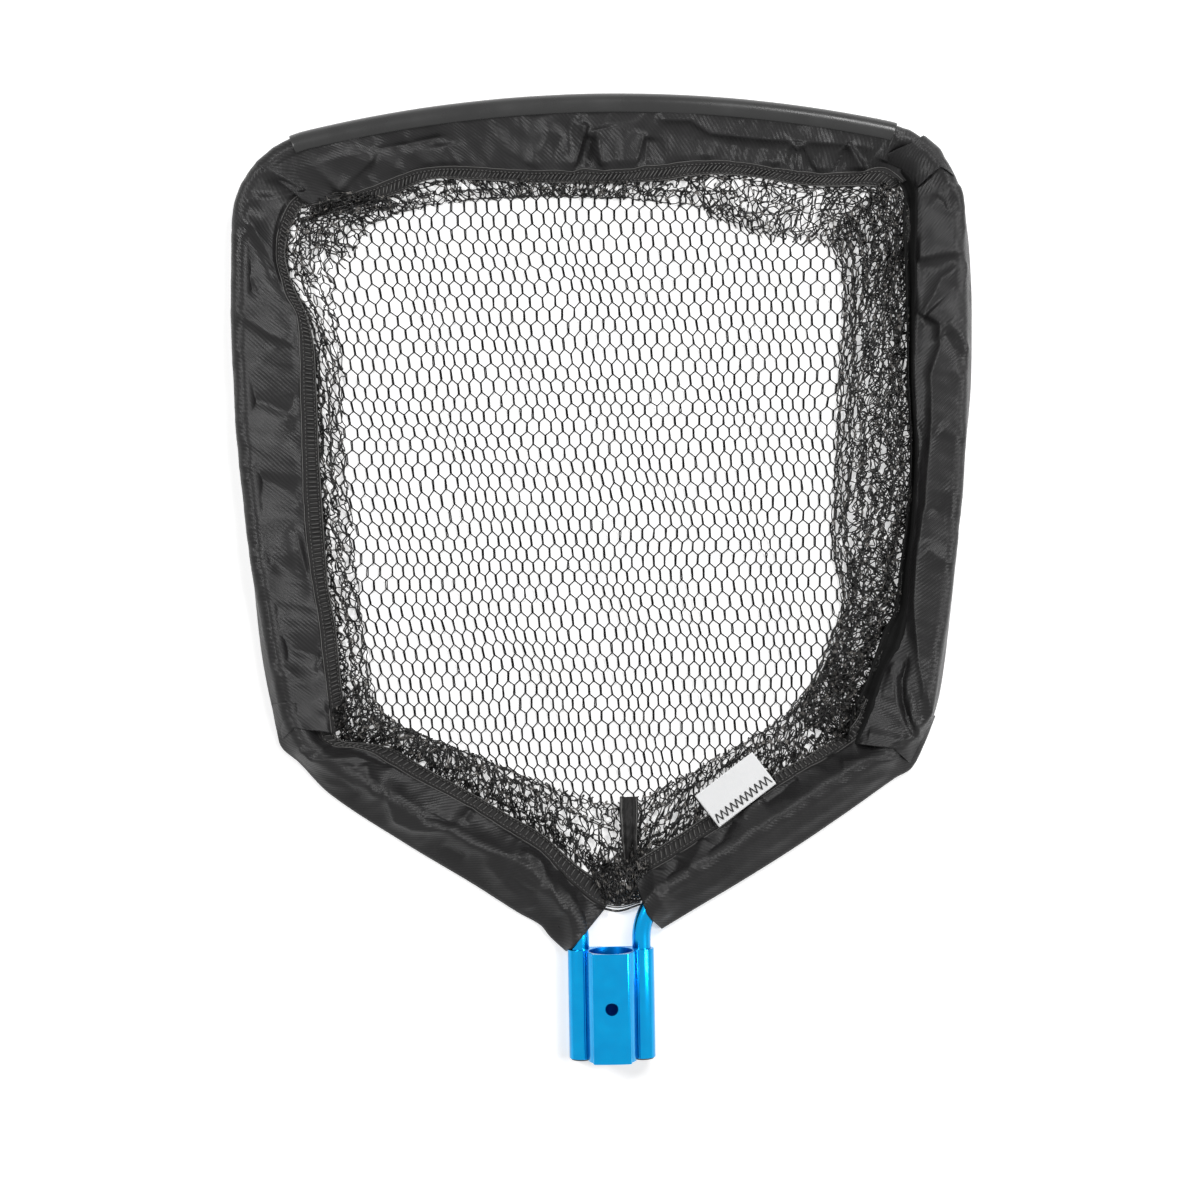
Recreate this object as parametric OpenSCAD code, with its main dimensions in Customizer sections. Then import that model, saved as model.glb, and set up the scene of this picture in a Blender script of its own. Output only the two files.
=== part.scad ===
// Leaf skimmer net: the head only. A bent aluminium hoop carries a cloth sleeve, the sleeve
// carries a knitted net bag, and the hoop's two legs are held in an extruded pole socket.
// Lies flat with the bag's mouth up. Origin: centre of the socket's mouth, +Y to the front edge.

/* [Pole socket] */
// Length of the extruded socket along the pole
socket_len = 70; // [60:1:90]
// Inside diameter of the pole bore
pole_bore_d = 28.4; // [27:0.2:29]
// Wall of the pole bore
socket_wall = 1.6; // [1.4:0.1:1.8]
// Wall of the two side lobes that hold the hoop's legs
lobe_wall = 1.95; // [1.6:0.05:2.1]
// Diameter of the spring button hole
button_d = 8; // [6:0.5:9]

/* [Hoop] */
// Outside diameter of the hoop tube
tube_d = 12; // [12:0.1:12.2]
// Wall of the hoop tube
tube_wall = 1; // [0.8:0.1:1.5]
// Distance of each leg from the pole axis
leg_x = 19.8; // [19.6:0.1:21]
// How far the hoop lies behind the pole axis
hoop_drop = 8.2; // [8:0.1:8.6]
// Half of the hoop's greatest width, on the tube's centre line
hoop_half_w = 230.5; // [225:0.5:236]
// Distance from the socket's mouth to the middle of the front bar
hoop_front = 613; // [605:1:625]
// Distance from the socket's mouth to the widest place
widest_y = 480; // [460:1:500]
// Slope of the hoop's two lower sides, in degrees
lower_slope = 31; // [29:0.5:33]

/* [Edge guard] */
// Wall of the plastic channel over the front bar
guard_wall = 1.3; // [1.1:0.1:1.4]
// Length of the channel, measured along the front bar
guard_len = 378; // [300:1:380]
// How far the channel sits left of the middle
guard_shift = 3; // [0:1:4]

/* [Cloth sleeve] */
// Thickness of the sleeve's cloth
cloth_t = 0.5; // [0.4:0.05:0.5]
// Reach of the side sleeves inside the tube's centre line
side_reach = 34; // [32:1:36]
// Reach of the front sleeve inside the tube's centre line
front_reach = 39.7; // [38:0.1:41]
// Reach of the lower sleeves inside the tube's centre line
lower_reach = 20.5; // [19:0.5:22]
// Width of the binding that joins the cloth to the net
binding_w = 9; // [8:0.5:10]

/* [Net bag] */
// Distance between neighbouring gaps of the base net
mesh_pitch = 29; // [28:1:40]
// Width of the cords of the base net
mesh_cord = 1.6; // [1.2:0.1:2.4]
// Height of the gathered walls
wall_h = 9; // [7:0.5:10]
// Width of the tape over the bag's seam
seam_w = 9.6; // [8:0.2:10]

/* [Woven label] */
// Length of the blank label
label_len = 45; // [38:1:48]
// Height of the blank label
label_h = 26; // [22:1:28]

/* [Hidden] */

$fn = 64;
BEND_FN = 360;
BLUE = [0.02, 0.56, 0.82];
CLOTH = [0.17, 0.17, 0.18];
NET = [0.06, 0.06, 0.06];

// Radii of the tube and of what is wrapped round it
tube_r = tube_d / 2;
hug_r = tube_r + 0.44 + cloth_t;
guard_in = hug_r + 0.16;
guard_out = guard_in + guard_wall;
hoop_z = -hoop_drop;
floor_z = hoop_z - guard_out;
tube_up = guard_out;
clear = 0.15;

// The socket's section
lobe_r = tube_r + 0.05 + lobe_wall;
bore_r = pole_bore_d / 2;
back_z = 0.2 - hoop_drop - lobe_r;
pad_x = 10;
pad_z = bore_r + 1;
pad_round = 2.4;
web = [[12, 8], [14.4, 3.2], [16.2, 0.6], [18.6, -1.2], [18.6, -hoop_drop], [17, back_z - 1]];
groove_x = 17.1;
groove_z = -0.1;
groove_r = 0.55;

// Rivets through the lobes' backs, and the depth to which the end caps enter the lobes
rivet_r = 1.6;
rivet_y = socket_len / 2;
cap_depth = 3;

// Radii of the bends of the hoop, and where its legs start to bend
front_r = 852;
side_r = 1240;
corner_r = 55;
heel_r = 55;
leg_bend_r = 38;
leg_bend_y = socket_len + 6;

// ---------------------------------------------------------------- plane geometry

function polar(c, r, a) = c + r * [cos(a), sin(a)];
function bearing(v) = atan2(v[1], v[0]);
function mix(p, q, f) = p + (q - p) * f;
function flip(p) = [-p[0], p[1]];
function flip_all(points) = [for (p = points) flip(p)];
function back(list) = [for (i = [len(list) - 1 : -1 : 0]) list[i]];

// The right-hand crossing of two circles
function circles_meet(c0, r0, c1, r1) =
    let (d = norm(c1 - c0), u = (c1 - c0) / d, a = (r0 * r0 - r1 * r1 + d * d) / (2 * d))
    c0 + a * u - sqrt(r0 * r0 - a * a) * [-u[1], u[0]];

// Where the line from p along the unit vector u leaves a circle
function line_leaves(p, u, c, r) =
    let (q = p - c, b = q * u)
    p + (sqrt(b * b - q * q + r * r) - b) * u;

// Centres of the five kinds of bend, right half
front_c = [0, hoop_front - front_r];
side_c = [hoop_half_w - side_r, widest_y];
corner_c = circles_meet(front_c, front_r - corner_r, side_c, side_r - corner_r);
leg_bend_c = [leg_x + leg_bend_r, leg_bend_y];
lower_u = [cos(lower_slope), sin(lower_slope)];
lower_n = [-sin(lower_slope), cos(lower_slope)];
lower_p = polar(leg_bend_c, leg_bend_r, 90 + lower_slope);
heel_c = line_leaves(lower_p + heel_r * lower_n, lower_u, side_c, side_r - heel_r);

// Angles at which one bend passes into the next
front_a = bearing(corner_c - front_c);
side_a1 = bearing(corner_c - side_c);
side_a0 = bearing(heel_c - side_c);
corner_mid = (front_a + side_a1) / 2;
heel_mid = (side_a0 + lower_slope - 90) / 2;
lower_q = polar(heel_c, heel_r, lower_slope - 90);

// ---------------------------------------------------------------- level lines
// A level is a closed line inside the hoop, given by its distances from the front bar, the
// sides and the lower sides: [front, side, lower].

STITCH = [front_reach, side_reach, lower_reach];
BOUND = STITCH + [1, 1, 1] * binding_w;
BASE = [62, 63, 60];

function level_corner(v) = circles_meet(front_c, front_r - v[0], side_c, side_r - v[1]);
function level_heel(v) = line_leaves(lower_p + v[2] * lower_n, lower_u, side_c, side_r - v[1]);
function level_lower(v, x) =
    lower_p + v[2] * lower_n + (x - lower_p[0] - v[2] * lower_n[0]) / lower_u[0] * lower_u;

function level_front(v, n) =
    let (a = bearing(level_corner(v) - front_c))
    [for (i = [0 : n]) polar(front_c, front_r - v[0], mix(180 - a, a, i / n))];
function level_side(v, n) =
    let (a0 = bearing(level_corner(v) - side_c), a1 = bearing(level_heel(v) - side_c))
    [for (i = [0 : n]) polar(side_c, side_r - v[1], mix(a0, a1, i / n))];
function level_low(v, end, n) =
    [for (i = [0 : n]) mix(level_heel(v), end, i / n)];

// ---------------------------------------------------------------- metal and plastic

// One stretch of the hoop's tube, straight or bent
module tube_profile() {
    difference() {
        circle(r = tube_r);
        circle(r = tube_r - tube_wall);
    }
}

module tube_bend(c, r, a0, a1) {
    translate([c[0], c[1], hoop_z])
        rotate([0, 0, a0])
            rotate_extrude(angle = a1 - a0, $fn = BEND_FN)
                translate([r, 0])
                    tube_profile();
}

module tube_straight(p, q) {
    translate([p[0], p[1], hoop_z])
        rotate([0, 0, bearing(q - p)])
            rotate([90, 0, 90])
                linear_extrude(norm(q - p))
                    tube_profile();
}

// A ring hardly thicker than the tube, over the place where two stretches meet at point p. It
// makes one solid of the run.
module meeting_ring(p, heading) {
    ring_w = 1;
    proud = 0.04;
    translate([p[0], p[1], hoop_z])
        rotate([0, 0, heading])
            rotate([90, 0, 90])
                translate([0, 0, -ring_w / 2])
                    difference() {
                        cylinder(r = tube_r + proud, h = ring_w);
                        translate([0, 0, -ring_w])
                            cylinder(r = tube_r - tube_wall - proud, h = 3 * ring_w);
                    }
}

module half_hoop() {
    tube_straight([leg_x, cap_depth], [leg_x, leg_bend_y]);
    meeting_ring([leg_x, leg_bend_y], 90);
    tube_bend(leg_bend_c, leg_bend_r, 90 + lower_slope, 180);
    meeting_ring(lower_p, lower_slope);
    tube_straight(lower_p, lower_q);
    meeting_ring(lower_q, lower_slope);
    tube_bend(heel_c, heel_r, lower_slope - 90, side_a0);
    meeting_ring(polar(heel_c, heel_r, side_a0), side_a0 + 90);
    tube_bend(side_c, side_r, side_a0, side_a1);
    meeting_ring(polar(side_c, side_r, side_a1), side_a1 + 90);
    tube_bend(corner_c, corner_r, side_a1, front_a);
    meeting_ring(polar(front_c, front_r, front_a), front_a + 90);
}

module frame_hoop() {
    color(BLUE)
        difference() {
            union() {
                half_hoop();
                mirror([1, 0, 0])
                    half_hoop();
                tube_bend(front_c, front_r, front_a, 180 - front_a);
            }
            for (side = [-1, 1])
                translate([side * leg_x, rivet_y, hoop_z - tube_r - 1])
                    cylinder(r = rivet_r + 0.05, h = tube_r);
        }
}

// The socket is drawn upright on its mouth, with the flat of its back towards -Y, and then laid
// down. Its section: the pole's bore, two lobes for the legs, webs between them and a flat pad
// on the front.
module along_socket(x, z, r) {
    translate([x, z, 0])
        cylinder(r = r, h = socket_len);
}

module socket_walls() {
    along_socket(0, 0, bore_r + socket_wall);
    for (side = [-1, 1]) {
        along_socket(side * leg_x, -hoop_drop, lobe_r);
        along_socket(side * pad_x, pad_z - pad_round, pad_round);
    }
    linear_extrude(socket_len)
        polygon(concat([[-pad_x, pad_z], [pad_x, pad_z], [pad_x + pad_round, pad_z - pad_round]],
                       web, back(flip_all(web)), [[-pad_x - pad_round, pad_z - pad_round]]));
}

module through_socket(x, z, r) {
    translate([x, z, -1])
        cylinder(r = r, h = socket_len + 2);
}

module pole_socket() {
    color(BLUE)
        difference() {
            translate([0, socket_len, 0])
                rotate([90, 0, 0])
                    difference() {
                        socket_walls();
                        through_socket(0, 0, bore_r);
                        for (side = [-1, 1]) {
                            through_socket(side * leg_x, -hoop_drop, tube_r + 0.05);
                            through_socket(side * groove_x, groove_z, groove_r);
                        }
                        translate([-2 * leg_x, back_z - lobe_r, -1])
                            cube([4 * leg_x, lobe_r, socket_len + 2]);
                    }
            translate([0, socket_len / 2, 0])
                cylinder(d = button_d, h = 2 * bore_r);
            for (side = [-1, 1])
                translate([side * leg_x, rivet_y, back_z])
                    rivet_seat();
        }
}

// Countersink for a flush rivet head, with the hole for its shank
module rivet_seat() {
    translate([0, 0, -1])
        cylinder(r = rivet_r + 0.05, h = lobe_r);
    translate([0, 0, -0.01])
        cylinder(r1 = 3.15, r2 = rivet_r + 0.05, h = 1.5);
}

module leg_rivets() {
    color([0.72, 0.74, 0.76])
        for (side = [-1, 1])
            translate([side * leg_x, rivet_y, back_z])
                rotate_extrude()
                    polygon([[0, 0], [3.05, 0], [rivet_r, 1.4], [rivet_r, lobe_wall + 1.2],
                             [2.6, lobe_wall + 1.8], [2.3, lobe_wall + 3.4], [0, lobe_wall + 4]]);
}

// Caps that close the lobes and the ends of the tube
module tube_end_caps() {
    cap_edge = 0.35;
    stem_r = tube_r - tube_wall - 0.1;
    color([0.05, 0.05, 0.05])
        for (side = [-1, 1])
            translate([side * leg_x, 0, hoop_z])
                rotate([-90, 0, 0])
                    rotate_extrude()
                        polygon([[0, -1], [7 - cap_edge, -1], [7, -1 + cap_edge], [7, 0],
                                 [tube_r - 0.05, 0], [tube_r - 0.05, cap_depth - 0.1],
                                 [stem_r, cap_depth - 0.1], [stem_r, 11], [stem_r - 1, 12],
                                 [stem_r - 2, 12], [stem_r - 2, 4], [0, 4]]);
}

// Plastic channel that grips the front bar from outside, open towards the bag
guard_open = 56;

module guard_section() {
    difference() {
        circle(r = guard_out);
        circle(r = guard_in);
        polygon([[0, 0], 20 * [-cos(guard_open), sin(guard_open)], [-20, 0],
                 20 * [-cos(guard_open), -sin(guard_open)]]);
    }
    for (side = [-1, 1])
        translate((guard_in + guard_out) / 2 * [-cos(guard_open), side * sin(guard_open)])
            circle(d = guard_wall);
}

module edge_guard() {
    span = guard_len / front_r * 180 / PI;
    turn = guard_shift / front_r * 180 / PI;
    color([0.06, 0.06, 0.065])
        translate([front_c[0], front_c[1], hoop_z])
            rotate([0, 0, 90 + turn - span / 2])
                rotate_extrude(angle = span, $fn = BEND_FN)
                    translate([front_r, 0])
                        guard_section();
}

// ---------------------------------------------------------------- cloth sleeves
// A station is [centre of the tube, inward normal there, stitch line's point, outer reach].
// Its section is drawn in the upright plane through the first and third.

FRONT_STEPS = 18;
SIDE_STEPS = 16;
LOWER_STEPS = 10;
BEND_STEPS = 4;
apart = 0.4;

function arc_stations(c, r, a0, a1, n, in_r, reach0, reach1) =
    [for (i = [0 : n]) let (a = mix(a0, a1, i / n), u = [cos(a), sin(a)])
        [c + r * u, -u, c + in_r * u, mix(reach0, reach1, i / n)]];

// A bend, where the stitch line runs straight from point p to point q
function bend_stations(c, r, a0, a1, p, q, reach0, reach1, inside = -1) =
    [for (i = [0 : BEND_STEPS]) let (f = i / BEND_STEPS, a = mix(a0, a1, f), u = [cos(a), sin(a)])
        [c + r * u, inside * u, mix(p, q, f), mix(reach0, reach1, f)]];

function without_first(list) = [for (i = [1 : len(list) - 1]) list[i]];
function flip_stations(list) = [for (s = list) [flip(s[0]), flip(s[1]), flip(s[2]), s[3]]];

stitch_corner = level_corner(STITCH);
stitch_heel = level_heel(STITCH);
front_in = front_r - front_reach;
side_in = side_r - side_reach;
half_gap = apart / corner_r * 90 / PI;

front_half = concat(
    arc_stations(front_c, front_r, 90, front_a, FRONT_STEPS / 2, front_in, 8, 8),
    without_first(bend_stations(corner_c, corner_r, front_a, corner_mid + half_gap,
        polar(front_c, front_in, front_a), stitch_corner - [apart, 0], 8, 8)));
front_stations = concat(back(flip_stations(front_half)), without_first(front_half));

side_stations = concat(
    bend_stations(corner_c, corner_r, corner_mid - half_gap, side_a1,
        stitch_corner - [0, apart], polar(side_c, side_in, side_a1), 9, 9.5),
    without_first(arc_stations(side_c, side_r, side_a1, side_a0, SIDE_STEPS, side_in, 9.5, 10)),
    without_first(bend_stations(heel_c, heel_r, side_a0, heel_mid + half_gap,
        polar(side_c, side_in, side_a0), stitch_heel + [0, apart], 10, 12.5)));

// The lower sleeve ends part of the way round the leg's bend, at angle end_a, its stitch line
// at point end_p. Its stitch line starts past the corner, so that the sections don't cross.
low_start = stitch_heel - 2 * lower_u;

function lower_stations(end_a, end_p) =
    let (n = LOWER_STEPS, low_end = lower_p + lower_reach * lower_n)
    concat(
        bend_stations(heel_c, heel_r, heel_mid - half_gap, lower_slope - 90,
            stitch_heel - apart * lower_u, low_start, 12.5, 17),
        [for (i = [1 : n]) let (f = i / n)
            [mix(lower_q, lower_p, f), lower_n, mix(low_start, low_end, f), mix(17, 21, sin(90 * f))]],
        without_first(bend_stations(leg_bend_c, leg_bend_r, 90 + lower_slope, end_a,
            low_end, end_p, 21, end_a > 160 ? 12 : 18, 1)));

right_end_a = 141;
right_end_p = [17.7, 117.5];
left_end_a = 168;
left_end_p = [4, 105];

// A fold is [place along the sleeve 0 to 1, height, half width, lean]
function folds_at(folds, f, across) =
    len(folds) == 0 ? 0 :
    [for (d = folds) d[1] * exp(-pow((f - d[0] - d[3] * (across - 0.5)) / d[2], 2))]
    * [for (d = folds) 1];

// Cloth drawn over the tube from an outer edge lying on the ground to the stitch line.
// Points are [distance inward, height above the ground], round the loop once.
edge_h = 3;
seam_h = 3.2;
drape_r = hug_r + 0.35;

function on_tube(a, r, k) = [k * r * cos(a), tube_up + r * sin(a)];
function tangent_angle(p, side) =
    let (v = p - [0, tube_up])
    bearing(v) + (bearing(v) < -90 ? 360 : 0) + side * acos(drape_r / norm(v));

function drape_section(reach, width, k, folds, f, sag) =
    let (
        edge = [-reach, edge_h],
        seam = [width, seam_h],
        out_a = tangent_angle([-reach / k, edge_h], -1),
        in_a = tangent_angle([width / k, seam_h], 1),
        out_p = on_tube(out_a, drape_r, k),
        in_p = on_tube(in_a, drape_r, k)
    )
    concat(
        [edge,
         mix(edge, out_p, 0.5) + [0, 0.25 * folds_at(folds, f, 0)],
         out_p,
         on_tube((out_a + 90) / 2, drape_r, k),
         on_tube(90, drape_r, k),
         in_p],
        [for (g = [0.3, 0.6, 0.84])
            mix(in_p, seam, g) + [0, sin(180 * g) * (folds_at(folds, f, g) - sag)]],
        [seam, [width, clear + 0.3], [(width - reach) / 2, clear], [0.6 - reach, clear]]);

// Cloth that hugs the tube inside the edge guard and leaves it inward
HUG_POINTS = 11;
HUG_TURN = 262.5 / (HUG_POINTS - 1);

function hug_section(width, k, folds, f, sag) =
    let (seam = [width, seam_h], out_p = on_tube(50, hug_r, k))
    concat(
        [seam],
        [for (g = [0.84, 0.6, 0.3])
            mix(out_p, seam, g) + [0, sin(180 * g) * (folds_at(folds, f, g) - sag)]],
        [for (i = [0 : HUG_POINTS - 1]) on_tube(50 + i * HUG_TURN, hug_r, k)],
        [[0.3 * width, 1.1], [0.6 * width, clear], [width, clear + 0.3]]);

// The same loop, moved inward by the cloth's thickness. The loop runs clockwise when turn is 1.
function inner_loop(loop, turn) =
    let (n = len(loop))
    [for (i = [0 : n - 1])
        let (d = loop[(i + 1) % n] - loop[(i + n - 1) % n], u = d / norm(d))
        loop[i] + turn * cloth_t * [u[1], -u[0]]];

// Places a section's points in space, at one station
function placed(station, loop) =
    let (t = station[0], e = (station[2] - t) / norm(station[2] - t))
    [for (p = loop) [t[0] + e[0] * p[0], t[1] + e[1] * p[0], floor_z + p[1]]];

function station_width(s) = norm(s[2] - s[0]);
function station_k(s) = norm(s[2] - s[0]) / ((s[2] - s[0]) * s[1]);

// A tube of cloth through the stations, open at both ends. turn is 1 where the loops run
// clockwise as seen along the stations.
module cloth_tube(outer, inner) {
    m = len(outer);
    n = len(outer[0]);
    points = concat([for (ring = outer) each ring], [for (ring = inner) each ring]);
    function side_faces(base, out) =
        [for (i = [0 : m - 2], j = [0 : n - 1])
            let (a = base + i * n + j, b = base + i * n + (j + 1) % n, c = b + n, d = a + n)
            each out ? [[a, b, c], [a, c, d]] : [[a, c, b], [a, d, c]]];
    function end_faces(i, out) =
        [for (j = [0 : n - 1])
            let (a = i * n + j, b = i * n + (j + 1) % n, c = b + m * n, d = a + m * n)
            each out ? [[a, b, c], [a, c, d]] : [[a, c, b], [a, d, c]]];
    polyhedron(points, concat(side_faces(0, false), side_faces(m * n, true),
                              end_faces(0, true), end_faces(m - 1, false)), convexity = 6);
}

module drape_sleeve(stations, folds, sag) {
    last = len(stations) - 1;
    loops = [for (i = [0 : last]) let (s = stations[i])
        drape_section(s[3], station_width(s) - clear, station_k(s), folds, i / last, sag)];
    cloth_tube([for (i = [0 : last]) placed(stations[i], loops[i])],
               [for (i = [0 : last]) placed(stations[i], inner_loop(loops[i], 1))]);
}

module hug_sleeve(stations, folds, sag) {
    last = len(stations) - 1;
    loops = [for (i = [0 : last]) let (s = stations[i])
        back(hug_section(station_width(s) - clear, station_k(s), folds, i / last, sag))];
    cloth_tube([for (i = [0 : last]) placed(stations[i], loops[i])],
               [for (i = [0 : last]) placed(stations[i], inner_loop(loops[i], 1))]);
}

module sleeve_front() {
    color(CLOTH)
        mirror([1, 0, 0])
            hug_sleeve(front_stations,
                       [[0.12, 3, 0.05, 0.05], [0.3, 1.5, 0.04, -0.04], [0.47, 4, 0.03, 0.05],
                        [0.58, 3, 0.03, -0.04], [0.8, 2, 0.06, 0.05]], 1.5);
}

module sleeve_right() {
    color(CLOTH)
        drape_sleeve(side_stations,
                     [[0.1, 3, 0.06, 0.06], [0.28, 4, 0.05, -0.08], [0.42, 3, 0.1, 0.1],
                      [0.88, 4, 0.06, 0.08]], 2);
}

module sleeve_left() {
    color(CLOTH)
        mirror([1, 0, 0])
            drape_sleeve(side_stations,
                         [[0.08, 4, 0.06, 0.1], [0.24, 4, 0.05, -0.1], [0.4, 2, 0.05, 0.05],
                          [0.75, 1.5, 0.06, -0.05]], 2);
}

module sleeve_lower_right() {
    color(CLOTH)
        drape_sleeve(lower_stations(right_end_a, right_end_p),
                     [[0.2, 2, 0.07, 0.1], [0.4, 3, 0.05, 0.08], [0.62, 3, 0.06, -0.08],
                      [0.9, 2, 0.05, 0.1]], 0.8);
}

module sleeve_lower_left() {
    color(CLOTH)
        mirror([1, 0, 0])
            drape_sleeve(lower_stations(left_end_a, left_end_p),
                         [[0.15, 2, 0.06, 0.1], [0.38, 4, 0.05, -0.1], [0.6, 3, 0.05, 0.1],
                          [0.82, 4, 0.06, 0.06]], 0.8);
}

// ---------------------------------------------------------------- binding and net bag

BINDING_STEPS = 12;
binding_t = 1.8;

module band(outer_line, inner_line) {
    translate([0, 0, floor_z + clear])
        linear_extrude(binding_t)
            polygon(concat(outer_line, back(inner_line)));
}

// Both lines of a binding, pulled in a little at the ends so that the mitres stay apart
function shortened(line) =
    let (n = len(line) - 1, a = line[0], b = line[n])
    concat([mix(a, line[1], apart / norm(line[1] - a))],
           [for (i = [1 : n - 1]) line[i]],
           [mix(b, line[n - 1], apart / norm(line[n - 1] - b))]);

module binding_front() {
    color(CLOTH)
        band(shortened(level_front(STITCH, BINDING_STEPS)), shortened(level_front(BOUND, BINDING_STEPS)));
}

module binding_right() {
    color(CLOTH)
        band(shortened(level_side(STITCH, BINDING_STEPS)), shortened(level_side(BOUND, BINDING_STEPS)));
}

module binding_left() {
    mirror([1, 0, 0])
        binding_right();
}

module binding_lower(end_p, end_x) {
    color(CLOTH)
        band(shortened(concat(level_low(STITCH, level_lower(STITCH, 28), 4), [end_p])),
             shortened(concat(level_low(BOUND, level_lower(BOUND, 23), 4), [level_lower(BOUND, end_x)])));
}

module binding_lower_right() {
    binding_lower(mix(right_end_p, level_lower(STITCH, 28), 0.2), seam_x + seam_w / 2 + 2 * apart);
}

module binding_lower_left() {
    mirror([1, 0, 0])
        binding_lower(left_end_p, 0);
}

// Flat base of the bag, about its middle: a field of six-sided gaps in rows, each cell taller than it is wide
field_c = [0, 370];

module net_field(outline) {
    row_h = mesh_pitch * 0.866 * 1.4;
    cell_r = (mesh_pitch - mesh_cord) / 2 / cos(30);
    difference() {
        polygon(outline);
        intersection() {
            polygon([for (p = outline) mix(field_c, p, 0.988)]);
            for (row = [-6 : 6], col = [-7 : 7])
                translate(field_c + [(col + (row % 2 == 0 ? 0 : 0.5)) * mesh_pitch, row * row_h])
                    scale([1, 1.4])
                        rotate([0, 0, 30])
                            circle(r = cell_r, $fn = 6);
        }
    }
}

base_outline = concat(level_front(BASE, 8),
                      without_first(level_side(BASE, 8)),
                      [level_lower(BASE, 14)],
                      [flip(level_lower(BASE, 14))],
                      back(flip_all(without_first(level_side(BASE, 8)))));

module net_base() {
    color(NET)
        translate([0, 0, floor_z + clear])
            linear_extrude(1.2)
                net_field(base_outline);
}

// The bag's seam lies a little to the right of the middle
seam_x = 13.6;
throat_y = [118, 162];

// Gathered walls of the bag: a low rumpled roll between the binding and the base
WALL_STEPS = 16;

function roll_section(width, f, phase) =
    let (h = wall_h * (0.86 + 0.14 * sin(360 * 3 * f + phase)))
    [[0.3, clear], [0.3, 2.2], [0.2 * width, 0.72 * h], [0.45 * width, h],
     [0.72 * width, 0.8 * h], [width - 0.3, 1.8], [width - 0.3, clear]];

module net_roll(outer_line, inner_line, phase) {
    m = len(outer_line);
    n = 7;
    rings = [for (i = [0 : m - 1])
        let (d = inner_line[i] - outer_line[i], u = d / norm(d))
        [for (p = roll_section(norm(d), i / (m - 1), phase))
            [outer_line[i][0] + u[0] * p[0], outer_line[i][1] + u[1] * p[0], floor_z + p[1]]]];
    faces = [for (i = [0 : m - 2], j = [0 : n - 1])
        let (a = i * n + j, b = i * n + (j + 1) % n, c = b + n, d = a + n)
        each [[a, c, b], [a, d, c]]];
    color(NET)
        polyhedron([for (ring = rings) each ring],
                   concat(faces, [[for (j = [0 : n - 1]) j]],
                          [[for (j = [n - 1 : -1 : 0]) (m - 1) * n + j]]), convexity = 4);
}

module net_wall_front() {
    mirror([1, 0, 0])
        net_roll(shortened(level_front(BOUND, WALL_STEPS)), shortened(level_front(BASE, WALL_STEPS)), 20);
}

module net_wall_right() {
    net_roll(shortened(level_side(BOUND, WALL_STEPS)), shortened(level_side(BASE, WALL_STEPS)), 80);
}

module net_wall_left() {
    mirror([1, 0, 0])
        net_roll(shortened(level_side(BOUND, WALL_STEPS)), shortened(level_side(BASE, WALL_STEPS)), 200);
}

module net_wall_lower_right() {
    x = seam_x + seam_w / 2 + apart;
    net_roll(shortened(level_low(BOUND, level_lower(BOUND, x), 10)),
             shortened(level_low(BASE, level_lower(BASE, x), 10)), 140);
}

module net_wall_lower_left() {
    x = seam_x - seam_w / 2 - apart;
    mirror([1, 0, 0])
        net_roll(shortened(concat(level_low(BOUND, level_lower(BOUND, 10), 9), [[-x, throat_y[0]]])),
                 shortened(concat(level_low(BASE, level_lower(BASE, 14), 9), [[-x, throat_y[1]]])), 300);
}

// A low arch on the ground, w long and h high: a slice of a circle
module low_arch(w, h) {
    r = (h * h + w * w / 4) / (2 * h);
    intersection() {
        translate([w / 2, h - r])
            circle(r = r, $fn = 180);
        square([w, h]);
    }
}

module seam_tape() {
    tape_t = 1.2;
    throat_len = throat_y[1] - throat_y[0];
    color(NET)
        translate([seam_x - seam_w / 2, throat_y[0], floor_z + clear])
            rotate([90, 0, 90])
                linear_extrude(seam_w)
                    difference() {
                        low_arch(throat_len, wall_h + 1);
                        translate([tape_t, -0.01])
                            low_arch(throat_len - 2 * tape_t, wall_h + 1 - tape_t);
                    }
}

// Blank woven label, sewn along its lower edge and leaning on the gathered net
label_p = [70.4, 151];
label_turn = 37;
label_tilt = 20;
label_t = 0.4;

module woven_label() {
    color([0.93, 0.93, 0.92])
        translate([label_p[0], label_p[1], floor_z + seam_h + 1])
            rotate([0, 0, label_turn])
                rotate([label_tilt, 0, 0])
                    cube([label_len, label_h, label_t]);
}

pole_socket();
frame_hoop();
tube_end_caps();
leg_rivets();
edge_guard();
sleeve_front();
sleeve_left();
sleeve_right();
sleeve_lower_left();
sleeve_lower_right();
binding_front();
binding_left();
binding_right();
binding_lower_left();
binding_lower_right();
net_base();
net_wall_front();
net_wall_left();
net_wall_right();
net_wall_lower_left();
net_wall_lower_right();
seam_tape();
woven_label();
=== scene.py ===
"""Finishes of a leaf skimmer net's head: satin cloth, stitched hems, knitted net, anodised metal.

Sizes are in millimetres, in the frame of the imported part: the origin is the middle of the
socket's mouth, +Y points to the front bar and +Z out of the bag. Meshes are written in metres.
"""
from __future__ import annotations

import logging
import math
from dataclasses import dataclass, field
from enum import Enum
from typing import Iterable, Sequence

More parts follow.
